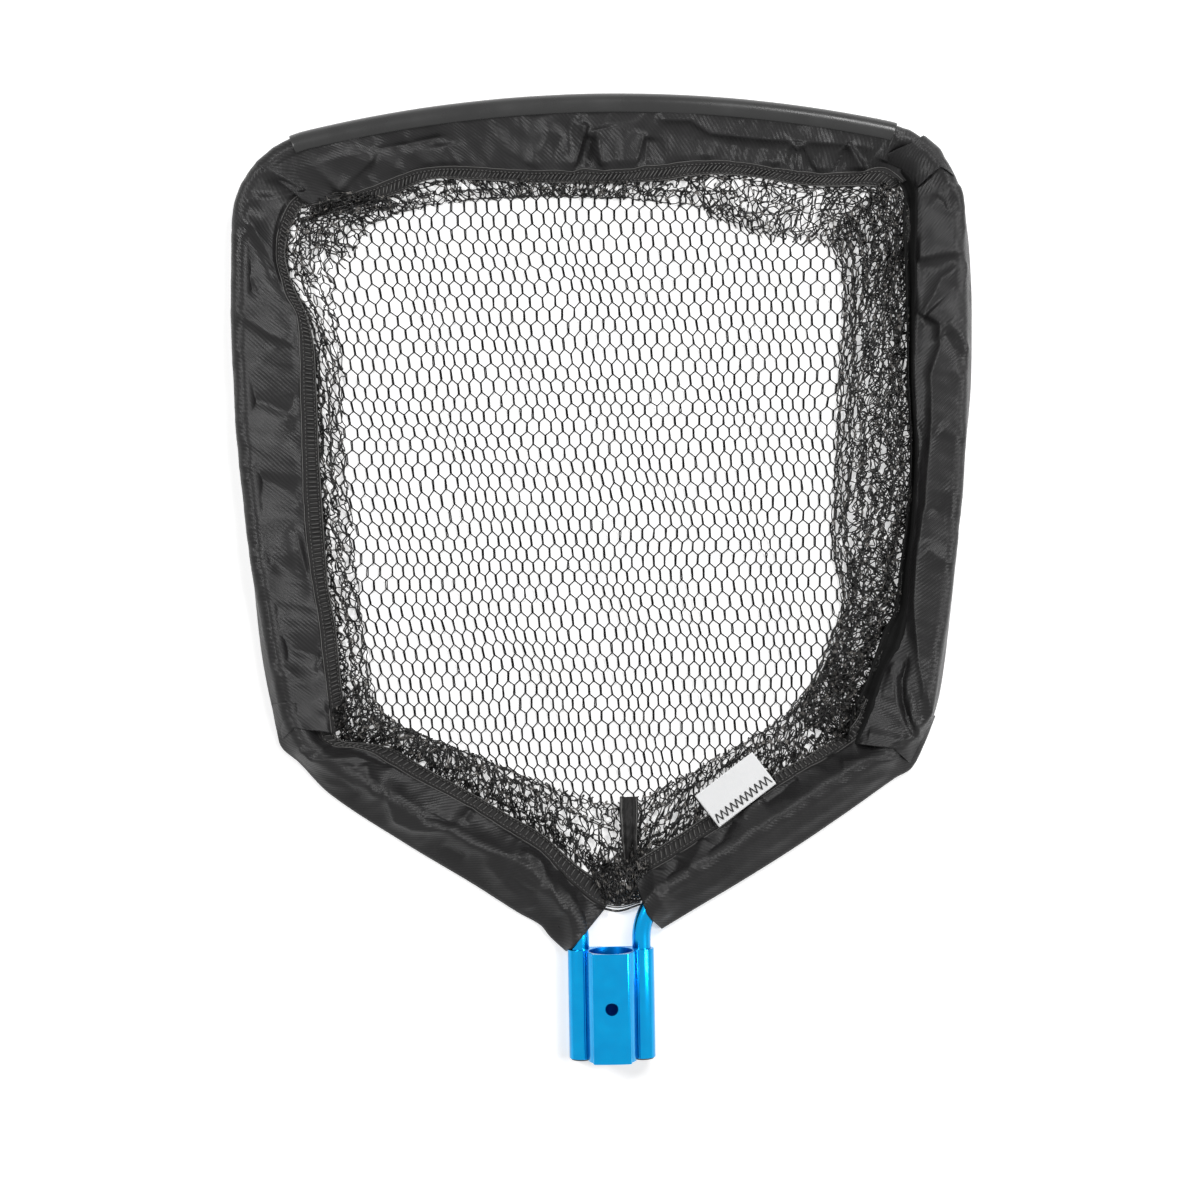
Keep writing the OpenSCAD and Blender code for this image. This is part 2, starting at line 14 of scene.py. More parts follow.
import bmesh
import bpy
import numpy as np
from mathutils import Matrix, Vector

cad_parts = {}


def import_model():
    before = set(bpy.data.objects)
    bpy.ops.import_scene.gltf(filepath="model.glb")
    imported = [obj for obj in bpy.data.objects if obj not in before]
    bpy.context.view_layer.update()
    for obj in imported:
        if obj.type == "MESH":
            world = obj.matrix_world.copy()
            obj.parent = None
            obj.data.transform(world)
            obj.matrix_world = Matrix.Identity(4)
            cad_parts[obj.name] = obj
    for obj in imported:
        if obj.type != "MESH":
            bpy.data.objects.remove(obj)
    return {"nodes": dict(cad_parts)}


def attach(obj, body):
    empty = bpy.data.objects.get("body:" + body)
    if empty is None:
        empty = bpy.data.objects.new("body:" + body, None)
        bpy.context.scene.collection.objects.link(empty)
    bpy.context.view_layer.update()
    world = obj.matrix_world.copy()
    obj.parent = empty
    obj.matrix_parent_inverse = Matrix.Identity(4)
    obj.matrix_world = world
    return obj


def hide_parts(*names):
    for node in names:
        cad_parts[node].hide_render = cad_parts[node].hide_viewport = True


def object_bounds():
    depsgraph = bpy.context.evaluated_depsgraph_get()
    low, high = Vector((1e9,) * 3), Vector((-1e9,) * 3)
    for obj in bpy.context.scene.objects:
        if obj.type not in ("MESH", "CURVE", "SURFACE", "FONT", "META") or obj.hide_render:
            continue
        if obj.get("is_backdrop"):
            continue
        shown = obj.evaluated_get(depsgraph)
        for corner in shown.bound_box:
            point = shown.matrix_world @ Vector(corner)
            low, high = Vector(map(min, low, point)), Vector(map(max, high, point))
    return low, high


LOG = logging.getLogger("leaf_net")
MM = 0.001
TUBE_END = 0.6  # share of its radius to which a closed tube narrows at its ends
THREAD_R = 0.36
THREAD_SIDES = 5
Array = np.ndarray
Object = bpy.types.Object
Material = bpy.types.Material
Socket = bpy.types.NodeSocket
Point = tuple[float, float]
Line = Sequence[Point]

# -------- plan of the hoop


@dataclass(frozen=True)
class HoopPlan:
    """Centre line of the bent tube and the heights at which things lie."""

    leg_x: float = 19.8
    leg_foot: float = 3.0
    leg_y: float = 76.0
    leg_bend: float = 38.0
    slope: float = 31.0
    heel_bend: float = 55.0
    side_bend: float = 1240.0
    corner_bend: float = 55.0
    front_bend: float = 852.0
    half_width: float = 230.5
    front_y: float = 613.0
    widest_y: float = 480.0
    tube_r: float = 6.0
    cloth_r: float = 7.3
    tube_z: float = -8.2
    floor_z: float = -16.6
    bend_step: float = 2.0
    least_steps: int = 12

    @property
    def tube_up(self) -> float:
        """Height of the tube's axis above the ground."""
        return self.tube_z - self.floor_z

    @staticmethod
    def _polar(centre: Array, radius: float, degrees: float) -> Array:
        """A point on a circle."""
        turn = math.radians(degrees)
        return centre + radius * np.array([math.cos(turn), math.sin(turn)])

    @staticmethod
    def _bearing(step: Array) -> float:
        """Direction of a plan vector, in degrees."""
        return math.degrees(math.atan2(step[1], step[0]))

    def right_half(self) -> Array:
        """Traces the tube from the right leg's end to the middle of the front bar.

        Returns:
            Points of the centre line, about 2 mm apart on the bends.
        """
        front_c = np.array([0.0, self.front_y - self.front_bend])
        side_c = np.array([self.half_width - self.side_bend, self.widest_y])
        front_in, side_in = self.front_bend - self.corner_bend, self.side_bend - self.corner_bend
        gap = side_c - front_c
        apart = float(np.linalg.norm(gap))
        unit = gap / apart
        along = (front_in**2 - side_in**2 + apart**2) / (2 * apart)
        rise = math.sqrt(front_in**2 - along**2)
        corner_c = front_c + along * unit - rise * np.array([-unit[1], unit[0]])

        turn = math.radians(self.slope)
        lower_u = np.array([math.cos(turn), math.sin(turn)])
        lower_n = np.array([-lower_u[1], lower_u[0]])
        leg_c = np.array([self.leg_x + self.leg_bend, self.leg_y])
        lower_p = self._polar(leg_c, self.leg_bend, 90 + self.slope)
        start = lower_p + self.heel_bend * lower_n - side_c
        heel_in = self.side_bend - self.heel_bend
        run = math.sqrt((start @ lower_u) ** 2 - start @ start + heel_in**2) - start @ lower_u
        heel_c = side_c + start + run * lower_u

        side_a0 = self._bearing(heel_c - side_c)
        side_a1 = self._bearing(corner_c - side_c)
        front_a = self._bearing(corner_c - front_c)
        bends = [
            (leg_c, self.leg_bend, 180, 90 + self.slope),
            (heel_c, self.heel_bend, self.slope - 90, side_a0),
            (side_c, self.side_bend, side_a0, side_a1),
            (corner_c, self.corner_bend, side_a1, front_a),
            (front_c, self.front_bend, front_a, 90),
        ]
        points = [np.array([self.leg_x, self.leg_foot]), np.array([self.leg_x, self.leg_y * 0.5])]
        for centre, radius, a0, a1 in bends:
            arc = abs(math.radians(a1 - a0)) * radius
            steps = max(self.least_steps, int(arc / self.bend_step))
            points += [self._polar(centre, radius, a) for a in np.linspace(a0, a1, steps)]
        return np.array(points)

    def whole(self) -> Array:
        """The centre line from the right leg's end round to the left leg's end."""
        right = self.right_half()
        return np.vstack([right, (right * [-1, 1])[-2::-1]])

    def between(self, start: Point, end: Point) -> Array:
        """The stretch of the centre line between the places nearest to two points.

        Args:
            start: Plan point near the stretch's start.
            end: Plan point near its end.

        Returns:
            Points of the stretch, from start to end.
        """
        line = evenly(self.whole(), 1.0)
        i, j = (int(np.argmin(np.linalg.norm(line - np.array(p), axis=1))) for p in (start, end))
        return line[i : j + 1] if i <= j else line[j : i + 1][::-1]


PLAN = HoopPlan()


# -------- lines and meshes


def run_length(points: Array) -> Array:
    """Distance run at each point of a line."""
    steps = np.linalg.norm(np.diff(points, axis=0), axis=1)
    return np.concatenate([[0.0], np.cumsum(steps)])


def spread(points: Array, count: int) -> Array:
    """Places points evenly along a line.

    Args:
        points: The line's points, in two or three dimensions.
        count: How many points to return.

    Returns:
        Evenly spaced points, with the line's own ends.
    """
    at = run_length(points)
    want = np.linspace(0, at[-1], count)
    return np.stack([np.interp(want, at, points[:, k]) for k in range(points.shape[1])], axis=1)


def evenly(points: Array, step: float) -> Array:
    """The same line with points about step apart."""
    return spread(points, max(2, int(round(run_length(points)[-1] / step)) + 1))


def smooth(points: Line, count: int) -> Array:
    """Draws a smooth line through chosen points.

    Args:
        points: The points, as listed.
        count: How many points to return.

    Returns:
        Evenly spaced points of a cubic line that passes through all of them.
    """
    p = np.array(points, dtype=float)
    at = run_length(p)
    slope = np.empty_like(p)
    slope[1:-1] = (p[2:] - p[:-2]) / (at[2:] - at[:-2])[:, None]
    slope[0] = (p[1] - p[0]) / (at[1] - at[0])
    slope[-1] = (p[-1] - p[-2]) / (at[-1] - at[-2])
    want = np.linspace(0, at[-1], 40 * len(p))
    i = np.clip(np.searchsorted(at, want, side="right") - 1, 0, len(p) - 2)
    span = (at[i + 1] - at[i])[:, None]
    t = (want[:, None] - at[i][:, None]) / span
    line = (
        (2 * t**3 - 3 * t**2 + 1) * p[i]
        + (t**3 - 2 * t**2 + t) * span * slope[i]
        + (3 * t**2 - 2 * t**3) * p[i + 1]
        + (t**3 - t**2) * span * slope[i + 1]
    )
    return spread(line, count)


def headings(line: Array) -> Array:
    """Unit direction of travel at each point of a line."""
    step = np.gradient(line, axis=0)
    return step / np.linalg.norm(step, axis=1, keepdims=True)


def left_of(direction: Array) -> Array:
    """Plan vectors turned a quarter to the left."""
    return np.stack([-direction[..., 1], direction[..., 0]], axis=-1)


def ease(x: Array) -> Array:
    """Smooth step from 0 to 1 over the same range."""
    t = np.clip(x, 0, 1)
    return t * t * (3 - 2 * t)


def round_points(centre: Array | float, radius: float, degrees: Iterable[float]) -> list[Array]:
    """Points on a circle, at angles in degrees."""
    return [centre + radius * np.array([math.cos(a), math.sin(a)]) for a in np.radians(degrees)]


def inside(points: Array, outline: Array) -> Array:
    """Tells which plan points lie within a closed outline.

    Args:
        points: The plan points, x and y last.
        outline: Corners of the outline, one row each.

    Returns:
        True or False for each point.
    """
    x, y = points[..., 0], points[..., 1]
    result = np.zeros(x.shape, dtype=bool)
    for a, b in zip(outline, np.roll(outline, -1, axis=0)):
        crosses = (a[1] > y) != (b[1] > y)
        at = (b[0] - a[0]) * (y - a[1]) / (b[1] - a[1] + 1e-12) + a[0]
        result ^= crosses & (x < at)
    return result


class Ripple:
    """Smooth unevenness of cloth or yarn: a sum of waves in chosen random directions."""

    def __init__(self, seed: int, longest: float, shortest: float, waves: int = 9) -> None:
        """Draws the waves.

        Args:
            seed: Number that fixes the draw.
            longest: Longest wave, in mm.
            shortest: Shortest wave, in mm.
            waves: How many waves are summed.
        """
        draw = np.random.default_rng(seed)
        length = np.geomspace(longest, shortest, waves)
        turn = draw.uniform(0, 2 * math.pi, waves)
        self.pull = 2 * math.pi / length * np.stack([np.cos(turn), np.sin(turn)])
        self.start = draw.uniform(0, 2 * math.pi, waves)
        self.weight = (length / longest) ** 0.7
        self.weight /= np.sqrt((self.weight**2).sum() / 2)

    def at(self, points: Array) -> Array:
        """Height at plan points, mostly between -2 and 2."""
        return (np.sin(points @ self.pull + self.start) * self.weight).sum(axis=-1)


class Drape:
    """Slack folds across a band of cloth: crisp crests with wide hollows, which come and go."""

    BEND = 0.22
    MIDDLE = 0.38

    def __init__(self, seed: int, longest: float, shortest: float, waves: int = 4) -> None:
        """Draws the folds.

        Args:
            seed: Number that fixes the draw.
            longest: Widest spacing of crests, in mm.
            shortest: Closest spacing, in mm.
            waves: How many sets of crests are summed.
        """
        draw = np.random.default_rng(seed)
        self.pitch = np.geomspace(longest, shortest, waves)
        self.slant = draw.uniform(-0.8, 0.8, waves)
        self.start = draw.uniform(0, 1, waves)
        self.bend = [Ripple(seed + 11 + i, 3 * p, p, 4) for i, p in enumerate(self.pitch)]
        self.patch = [Ripple(seed + 31 + i, 4 * p, 1.5 * p, 4) for i, p in enumerate(self.pitch)]

    def at(self, run: Array, across: Array, plan: Array) -> Array:
        """Height of the folds.

        Args:
            run: Distance along the band.
            across: Distance across it.
            plan: The same places as plan points.

        Returns:
            Heights, mostly between -0.5 and 1.
        """
        total = np.zeros(plan.shape[:-1])
        sets = zip(self.pitch, self.slant, self.start, self.bend, self.patch)
        for pitch, slant, start, bend, patch in sets:
            phase = (run + slant * across) / pitch + start + self.BEND * bend.at(plan)
            crest = 1.1 - np.sqrt(np.sin(math.pi * phase) ** 2 + 0.02)
            here = np.clip(0.5 + 0.45 * patch.at(plan), 0, 1)
            total += pitch / self.pitch[0] * here * (crest**1.3 - self.MIDDLE)
        return total


def new_object(name: str, points: Array, faces: list[list[int]]) -> Object:
    """Makes a mesh object from points in mm.

    Args:
        name: Name of the piece.
        points: Its points, with x, y and z last.
        faces: Point numbers of each face.

    Returns:
        The object, linked to the scene and shaded smooth.
    """
    mesh = bpy.data.meshes.new(name)
    mesh.from_pydata((points.reshape(-1, 3) * MM).tolist(), [], faces)
    mesh.shade_smooth()
    obj = bpy.data.objects.new(name, mesh)
    bpy.context.scene.collection.objects.link(obj)
    return obj


def grid_faces(rows: int, columns: int, closed: bool, first: int = 0) -> Array:
    """Four-sided faces between the rows of a grid of points.

    Args:
        rows: Rows of points.
        columns: Points in a row.
        closed: Whether each row closes on itself.
        first: Number of the grid's first point.

    Returns:
        One row of four point numbers for each face.
    """
    across = columns if closed else columns - 1
    i, j = np.meshgrid(np.arange(rows - 1), np.arange(across), indexing="ij")
    a = i * columns + j
    b = i * columns + (j + 1) % columns
    return first + np.stack([a, b, b + columns, a + columns], axis=-1).reshape(-1, 4)


def grid_object(name: str, grid: Array, closed: bool) -> Object:
    """Makes a mesh from a grid of points, with a UV map in real metres.

    Args:
        name: Name of the piece.
        grid: Points as rows, columns and x, y, z, in mm.
        closed: Whether each row closes on itself.

    Returns:
        The new object.
    """
    rows, columns = grid.shape[:2]
    obj = new_object(name, grid, grid_faces(rows, columns, closed).tolist())
    wide = np.concatenate([grid, grid[:, :1]], axis=1) if closed else grid
    across = np.zeros(wide.shape[:2])
    across[:, 1:] = np.cumsum(np.linalg.norm(np.diff(wide, axis=1), axis=2), axis=1)
    along = np.repeat(run_length(grid[:, 0])[:, None], wide.shape[1], axis=1)
    uv = np.stack([along, across], axis=-1) * MM
    corners = np.stack([uv[:-1, :-1], uv[:-1, 1:], uv[1:, 1:], uv[1:, :-1]], axis=2)
    layer = obj.data.uv_layers.new(name="cloth")
    layer.data.foreach_set("uv", corners.reshape(-1))
    return obj


def tube_grid(path: Array, radius: float | Array, sides: int) -> Array:
    """Rings of points round a path.

    Args:
        path: The path's points, in three dimensions.
        radius: One radius, or one for each point.
        sides: Points in each ring.

    Returns:
        Points as rings, sides and x, y, z.
    """
    ahead = headings(path)
    across = np.cross(ahead, [0.0, 0.0, 1.0])
    across /= np.linalg.norm(across, axis=1, keepdims=True) + 1e-9
    up = np.cross(across, ahead)
    turn = np.linspace(0, 2 * math.pi, sides, endpoint=False)
    ring = np.cos(turn)[:, None] * across[:, None] + np.sin(turn)[:, None] * up[:, None]
    return path[:, None] + np.reshape(radius, (-1, 1, 1)) * ring


def tubes_object(name: str, paths: Iterable[Array], radius: float, sides: int) -> Object:
    """Makes one mesh of many tubes, each closed at its ends.

    Args:
        name: Name of the piece.
        paths: The tubes' paths, in three dimensions.
        radius: Radius of every tube.
        sides: Sides of every tube.

    Returns:
        The new object.
    """
    points, faces, ends = [], [], []
    first = 0
    for path in paths:
        taper = np.ones(len(path))
        taper[[0, -1]] = TUBE_END
        grid = tube_grid(path, radius * taper, sides).reshape(-1, 3)
        points.append(grid)
        faces += grid_faces(len(path), sides, True, first).tolist()
        last = first + len(grid) - sides
        ends.append(list(range(first + sides - 1, first - 1, -1)))
        ends.append(list(range(last, last + sides)))
        first += len(grid)
    return new_object(name, np.vstack(points), faces + ends)


def face_up(obj: Object, face: int | None = None) -> None:
    """Turns a sheet's upper side up.

    Args:
        obj: The sheet.
        face: Number of a face that has to look up: the middle one, unless given.
    """
    polygons = obj.data.polygons
    if polygons[len(polygons) // 2 if face is None else face].normal.z < 0:
        obj.data.flip_normals()


def close_ends(obj: Object, most_corners: int) -> None:
    """Fills the ends of an open body and turns its faces outward.

    Args:
        obj: The body.
        most_corners: Faces with more corners than this are cut into triangles.
    """
    shape = bmesh.new()
    shape.from_mesh(obj.data)
    bmesh.ops.holes_fill(shape, edges=shape.edges)
    bmesh.ops.triangulate(shape, faces=[f for f in shape.faces if len(f.verts) > most_corners])
    bmesh.ops.recalc_face_normals(shape, faces=shape.faces)
    shape.to_mesh(obj.data)
    shape.free()


def settle(obj: Object) -> None:
    """Applies an object's modifiers to its mesh.

    Args:
        obj: The object.
    """
    deps = bpy.context.evaluated_depsgraph_get()
    mesh = bpy.data.meshes.new_from_object(obj.evaluated_get(deps))
    obj.modifiers.clear()
    obj.data = mesh


def thicken(obj: Object, thickness: float) -> None:
    """Gives a sheet its thickness, towards its back.

    Args:
        obj: The sheet.
        thickness: Its thickness, in mm.
    """
    shell = obj.modifiers.new("thickness", "SOLIDIFY")
    shell.thickness = thickness * MM
    shell.offset = -1
    settle(obj)


# -------- finishes


class Sketch:
    """Builds a material's nodes."""

    def __init__(self, name: str) -> None:
        """Starts a material with an empty surface shader.

        Args:
            name: Name of the material.
        """
        self.material = bpy.data.materials.new(name)
        self.material.use_nodes = True
        self.tree = self.material.node_tree
        self.shader = self.tree.nodes["Principled BSDF"]

    def add(self, kind: str, **settings: object) -> bpy.types.Node:
        """Adds a node.

        Args:
            kind: The node's type, without its ShaderNode prefix.
            **settings: Its properties; names of inputs are given with set().

        Returns:
            The node.
        """
        node = self.tree.nodes.new("ShaderNode" + kind)
        for name, value in settings.items():
            setattr(node, name, value)
        return node

    def set(self, node: bpy.types.Node, **values: object) -> bpy.types.Node:
        """Sets or links a node's inputs.

        Args:
            node: The node.
            **values: Values or outputs by the input's name, with underscores for its spaces.

        Returns:
            The same node.
        """
        for name, value in values.items():
            socket = node.inputs[name.replace("_", " ")]
            if isinstance(value, Socket):
                self.tree.links.new(value, socket)
            else:
                socket.default_value = value
        return node

    def mix_colour(self, factor: Socket, dark: tuple, light: tuple) -> Socket:
        """Mixes two colours.

        Args:
            factor: How far the colour is from dark to light.
            dark: The first colour.
            light: The second.

        Returns:
            The mixed colour.
        """
        ramp = self.add("ValToRGB")
        ramp.color_ramp.elements[0].color = (*dark, 1)
        ramp.color_ramp.elements[1].color = (*light, 1)
        self.set(ramp, Fac=factor)
        return ramp.outputs["Color"]

    def bump(self, height: Socket, distance: float,
             below: Socket | None = None) -> Socket:
        """Bends the normal by a height.

        Args:
            height: The height, from 0 to 1.
            distance: What a height of 1 stands for, in mm.
            below: Another bent normal, on top of which this one lies.

        Returns:
            The normal.
        """
        node = self.add("Bump")
        self.set(node, Height=height, Distance=distance * MM, Strength=1.0)
        if below is not None:
            self.set(node, Normal=below)
        return node.outputs["Normal"]

    def noise(self, size: float, detail: float) -> Socket:
        """Makes cloudy noise in the object's own space.

        Args:
            size: Size of its clouds, in mm.
            detail: How many finer sets of clouds it has.

        Returns:
            The noise, from 0 to 1.
        """
        coords = self.add("TexCoord")
        node = self.add("TexNoise")
        self.set(node, Vector=coords.outputs["Object"], Scale=1 / (size * MM), Detail=detail)
        return node.outputs["Fac"]

    def bands(self, coords: Socket, direction: str, pitch: float, sway: float,
              **more: float) -> Socket:
        """Makes even bands.

        Args:
            coords: The coordinates that they follow.
            direction: The way they are counted, as the wave texture names it.
            pitch: Width of a band, in mm.
            sway: How much they sway.
            **more: Further inputs of the wave texture.

        Returns:
            The bands, from 0 to 1.
        """
        node = self.add("TexWave", wave_profile="SIN", bands_direction=direction)
        self.set(node, Vector=coords, Scale=math.pi / 10 / (pitch * MM), Distortion=sway, **more)
        return node.outputs["Fac"]


@dataclass(frozen=True)
class SatinCloth:
    """Shiny woven nylon, with a twill line and small scuffs."""

    name: str = "sleeve cloth"
    dark: tuple = (0.006, 0.0058, 0.006)
    light: tuple = (0.016, 0.0155, 0.016)
    roughness: float = 0.31
    twill_pitch: float = 2.3
    yarn_pitch: float = 0.55
    sheen: float = 0.03
    gloss: float = 0.25
    twill_turn: float = 38.0
    twill_depth: float = 0.065
    twill_shade: float = 0.35
    weave_depth: float = 0.06

    def material(self) -> Material:
        """Makes the cloth's material.

        Returns:
            The material.
        """
        s = Sketch(self.name)
        coords = s.add("TexCoord")
        slant = s.set(s.add("Mapping"), Vector=coords.outputs["UV"])
        slant.inputs["Rotation"].default_value[2] = math.radians(self.twill_turn)
        twill = s.bands(slant.outputs["Vector"], "X", self.twill_pitch, 0.6, Detail=1.0)
        weave = s.bands(coords.outputs["UV"], "DIAGONAL", self.yarn_pitch, 0.2)
        clouds = s.noise(30, 3)
        shade = s.add("Math", operation="MULTIPLY_ADD")
        shade.inputs[1].default_value = self.twill_shade
        s.tree.links.new(twill, shade.inputs[0])
        s.tree.links.new(clouds, shade.inputs[2])
        rough = s.add("MapRange")
        s.set(rough, Value=clouds, From_Min=0.3, From_Max=0.7,
              To_Min=self.roughness - 0.05, To_Max=self.roughness + 0.07)
        normal = s.bump(weave, self.weave_depth)
        normal = s.bump(twill, self.twill_depth, below=normal)
        s.set(s.shader, Base_Color=s.mix_colour(shade.outputs[0], self.dark, self.light),
              Roughness=rough.outputs["Result"], Sheen_Weight=self.sheen, Sheen_Roughness=0.45,
              Specular_IOR_Level=self.gloss, Normal=normal)
        return s.material


@dataclass(frozen=True)
class HemTape:
    """Matt edging of coarse yarn, between cloth and net."""

    name: str = "binding cloth"
    dark: tuple = (0.009, 0.009, 0.009)
    light: tuple = (0.026, 0.025, 0.025)
    roughness: float = 0.55
    grain: float = 0.9
    rib: float = 0.7
    rib_depth: float = 0.25

    def material(self) -> Material:
        """Makes the edging's material.

        Returns:
            The material.
        """
        s = Sketch(self.name)
        grain = s.noise(self.grain, 4)
        fine = s.noise(self.rib, 2)
        s.set(s.shader, Base_Color=s.mix_colour(grain, self.dark, self.light),
              Roughness=self.roughness, Specular_IOR_Level=0.14, Sheen_Weight=0.03, Sheen_Roughness=0.5,
              Normal=s.bump(fine, self.rib_depth))
        return s.material


@dataclass(frozen=True)
class KnittedYarn:
    """Waxed black multifilament yarn, with pale glints painted into its colour."""

    name: str = "net yarn"
    dark: tuple = (0.0018, 0.0018, 0.0018)
    light: tuple = (0.006, 0.0056, 0.0053)
    roughness: float = 0.26
    gloss: float = 0.4
    # colour of the painted glints: a painted highlight mixed into the base colour
    painted_glint: tuple = (0.16, 0.15, 0.14)
    glint_from: float = 0.585
    glint_long: float = 3.5
    strand: float = 0.3
    strand_depth: float = 0.08

    def material(self) -> Material:
        """Makes the yarn's material, with short paler stretches painted into its colour as a painted
        highlight.

        Returns:
            The material.
        """
        s = Sketch(self.name)
        # painted highlight: noise picks short stretches that take the pale painted glint colour
        painted_glint_mask = s.set(s.add("MapRange"), Value=s.noise(self.glint_long, 1), From_Min=self.glint_from,
                        From_Max=self.glint_from + 0.07)
        strands = s.noise(self.strand, 2)
        rough = s.add("MapRange")
        s.set(rough, Value=strands, To_Min=self.roughness - 0.1, To_Max=self.roughness + 0.16)
        shade = s.add("Mix", data_type="RGBA")
        s.tree.links.new(painted_glint_mask.outputs["Result"], shade.inputs[0])
        s.tree.links.new(s.mix_colour(s.noise(4, 3), self.dark, self.light), shade.inputs[6])
        shade.inputs[7].default_value = (*self.painted_glint, 1)
        s.set(s.shader, Base_Color=shade.outputs[2],
              Roughness=rough.outputs["Result"], Specular_IOR_Level=self.gloss,
              Normal=s.bump(strands, self.strand_depth))
        return s.material


@dataclass(frozen=True)
class Anodised:
    """Bright blue anodised aluminium with faint drawing lines along Y."""

    name: str = "anodised blue"
    deep: tuple = (0.0005, 0.26, 0.60)
    bright: tuple = (0.001, 0.37, 0.74)
    roughness: float = 0.18
    coat: float = 0.15
    line: float = 0.5
    line_depth: float = 0.006

    def material(self) -> Material:
        """Makes the metal's material.

        Returns:
            The material.
        """
        s = Sketch(self.name)
        coords = s.add("TexCoord")
        drawn = s.set(s.add("Mapping"), Vector=coords.outputs["Object"], Scale=(1.0, 0.02, 1.0))
        lines = s.add("TexNoise")
        s.set(lines, Vector=drawn.outputs["Vector"], Scale=1 / (self.line * MM), Detail=3.0)
        clouds = s.noise(14, 2)
        rough = s.add("MapRange")
        s.set(rough, Value=lines.outputs["Fac"], To_Min=self.roughness - 0.05,
              To_Max=self.roughness + 0.08)
        s.set(s.shader, Base_Color=s.mix_colour(clouds, self.deep, self.bright), Metallic=1.0,
              Roughness=rough.outputs["Result"], Coat_Weight=self.coat, Coat_Roughness=0.06,
              Normal=s.bump(lines.outputs["Fac"], self.line_depth))
        return s.material


@dataclass(frozen=True)
class Moulded:
    """Satin plastic, rubber or bare metal, with a fine moulded grain."""

    name: str
    dark: tuple
    light: tuple
    roughness: float
    grain: float = 0.6
    depth: float = 0.03
    metallic: float = 0.0

    def material(self) -> Material:
        """Makes the piece's material.

        Returns:
            The material.
        """
        s = Sketch(self.name)
        clouds = s.noise(25, 4)
        grain = s.noise(self.grain, 3)
        rough = s.add("MapRange")
        s.set(rough, Value=clouds, From_Min=0.3, From_Max=0.7, To_Min=self.roughness - 0.06,
              To_Max=self.roughness + 0.08)
        s.set(s.shader, Base_Color=s.mix_colour(clouds, self.dark, self.light),
              Metallic=self.metallic, Roughness=rough.outputs["Result"],
              Normal=s.bump(grain, self.depth))
        return s.material


@dataclass(frozen=True)
class LabelSatin:
    """White woven ribbon."""

    name: str = "label cloth"
    dark: tuple = (0.83, 0.84, 0.85)
    light: tuple = (0.88, 0.88, 0.88)
    rib: float = 0.5
    rib_depth: float = 0.08

    def material(self) -> Material:
        """Makes the ribbon's material.

        Returns:
            The material.
        """
        s = Sketch(self.name)
        ribs = s.bands(s.add("TexCoord").outputs["UV"], "Y", self.rib, 0.4)
        s.set(s.shader, Base_Color=s.mix_colour(s.noise(3, 3), self.dark, self.light),
              Roughness=0.55, Sheen_Weight=0.3, Normal=s.bump(ribs, self.rib_depth))
        return s.material


class Finishes:
    """The finishes of the head, each made once."""

    def __init__(self) -> None:
        """Makes the materials."""
        self.cloth = SatinCloth().material()
        self.hem = HemTape().material()
        self.yarn = KnittedYarn().material()
        # the taut yarn's painted glint colour is set nearly as dark as the yarn itself
        self.taut_yarn = KnittedYarn("taut net yarn", roughness=0.5, gloss=0.08,
                                     painted_glint=(0.02, 0.02, 0.02)).material()
        self.metal = Anodised().material()
        # painted shade: a darker copy of the edging cloth for the right edging, which lies in a hollow
        self.hem_painted_shade = HemTape("hem lining", (0.002, 0.002, 0.002), (0.006, 0.006, 0.006), 0.8).material()
        self.guard = Moulded("guard plastic", (0.010, 0.010, 0.010), (0.018, 0.018, 0.018), 0.27).material()
        self.rubber = Moulded("cap rubber", (0.010, 0.010, 0.011), (0.020, 0.020, 0.021), 0.55).material()
        self.rivet = Moulded("rivet metal", (0.55, 0.56, 0.58), (0.72, 0.73, 0.75), 0.3, 0.3, 0.02,
                             metallic=1.0).material()
        self.label = LabelSatin().material()
        # painted shade: a darker, duller copy of the blue metal for the inside of the bore
        self.bore = Anodised("bore painted shade", (0.0004, 0.10, 0.36), (0.0006, 0.15, 0.46), 0.35,
                             0.0).material()
        self.thread = Moulded("sewing thread", (0.040, 0.039, 0.038), (0.085, 0.083, 0.080), 0.45,
                              0.25, 0.05).material()
        self.black_thread = Moulded("black thread", (0.006, 0.006, 0.006), (0.015, 0.015, 0.015), 0.5,
                                    0.25, 0.05).material()


def dress(obj: Object, material: Material, slot: str, *nodes: str) -> None:
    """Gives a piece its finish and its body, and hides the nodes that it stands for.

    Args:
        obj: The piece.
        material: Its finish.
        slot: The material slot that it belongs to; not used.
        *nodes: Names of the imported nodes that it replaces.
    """
    obj.data.materials.clear()
    obj.data.materials.append(material)
    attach(obj, "root")
    if nodes:
        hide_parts(*nodes)
    LOG.info("%s: %d faces", obj.name, len(obj.data.polygons))


# -------- metal and plastic


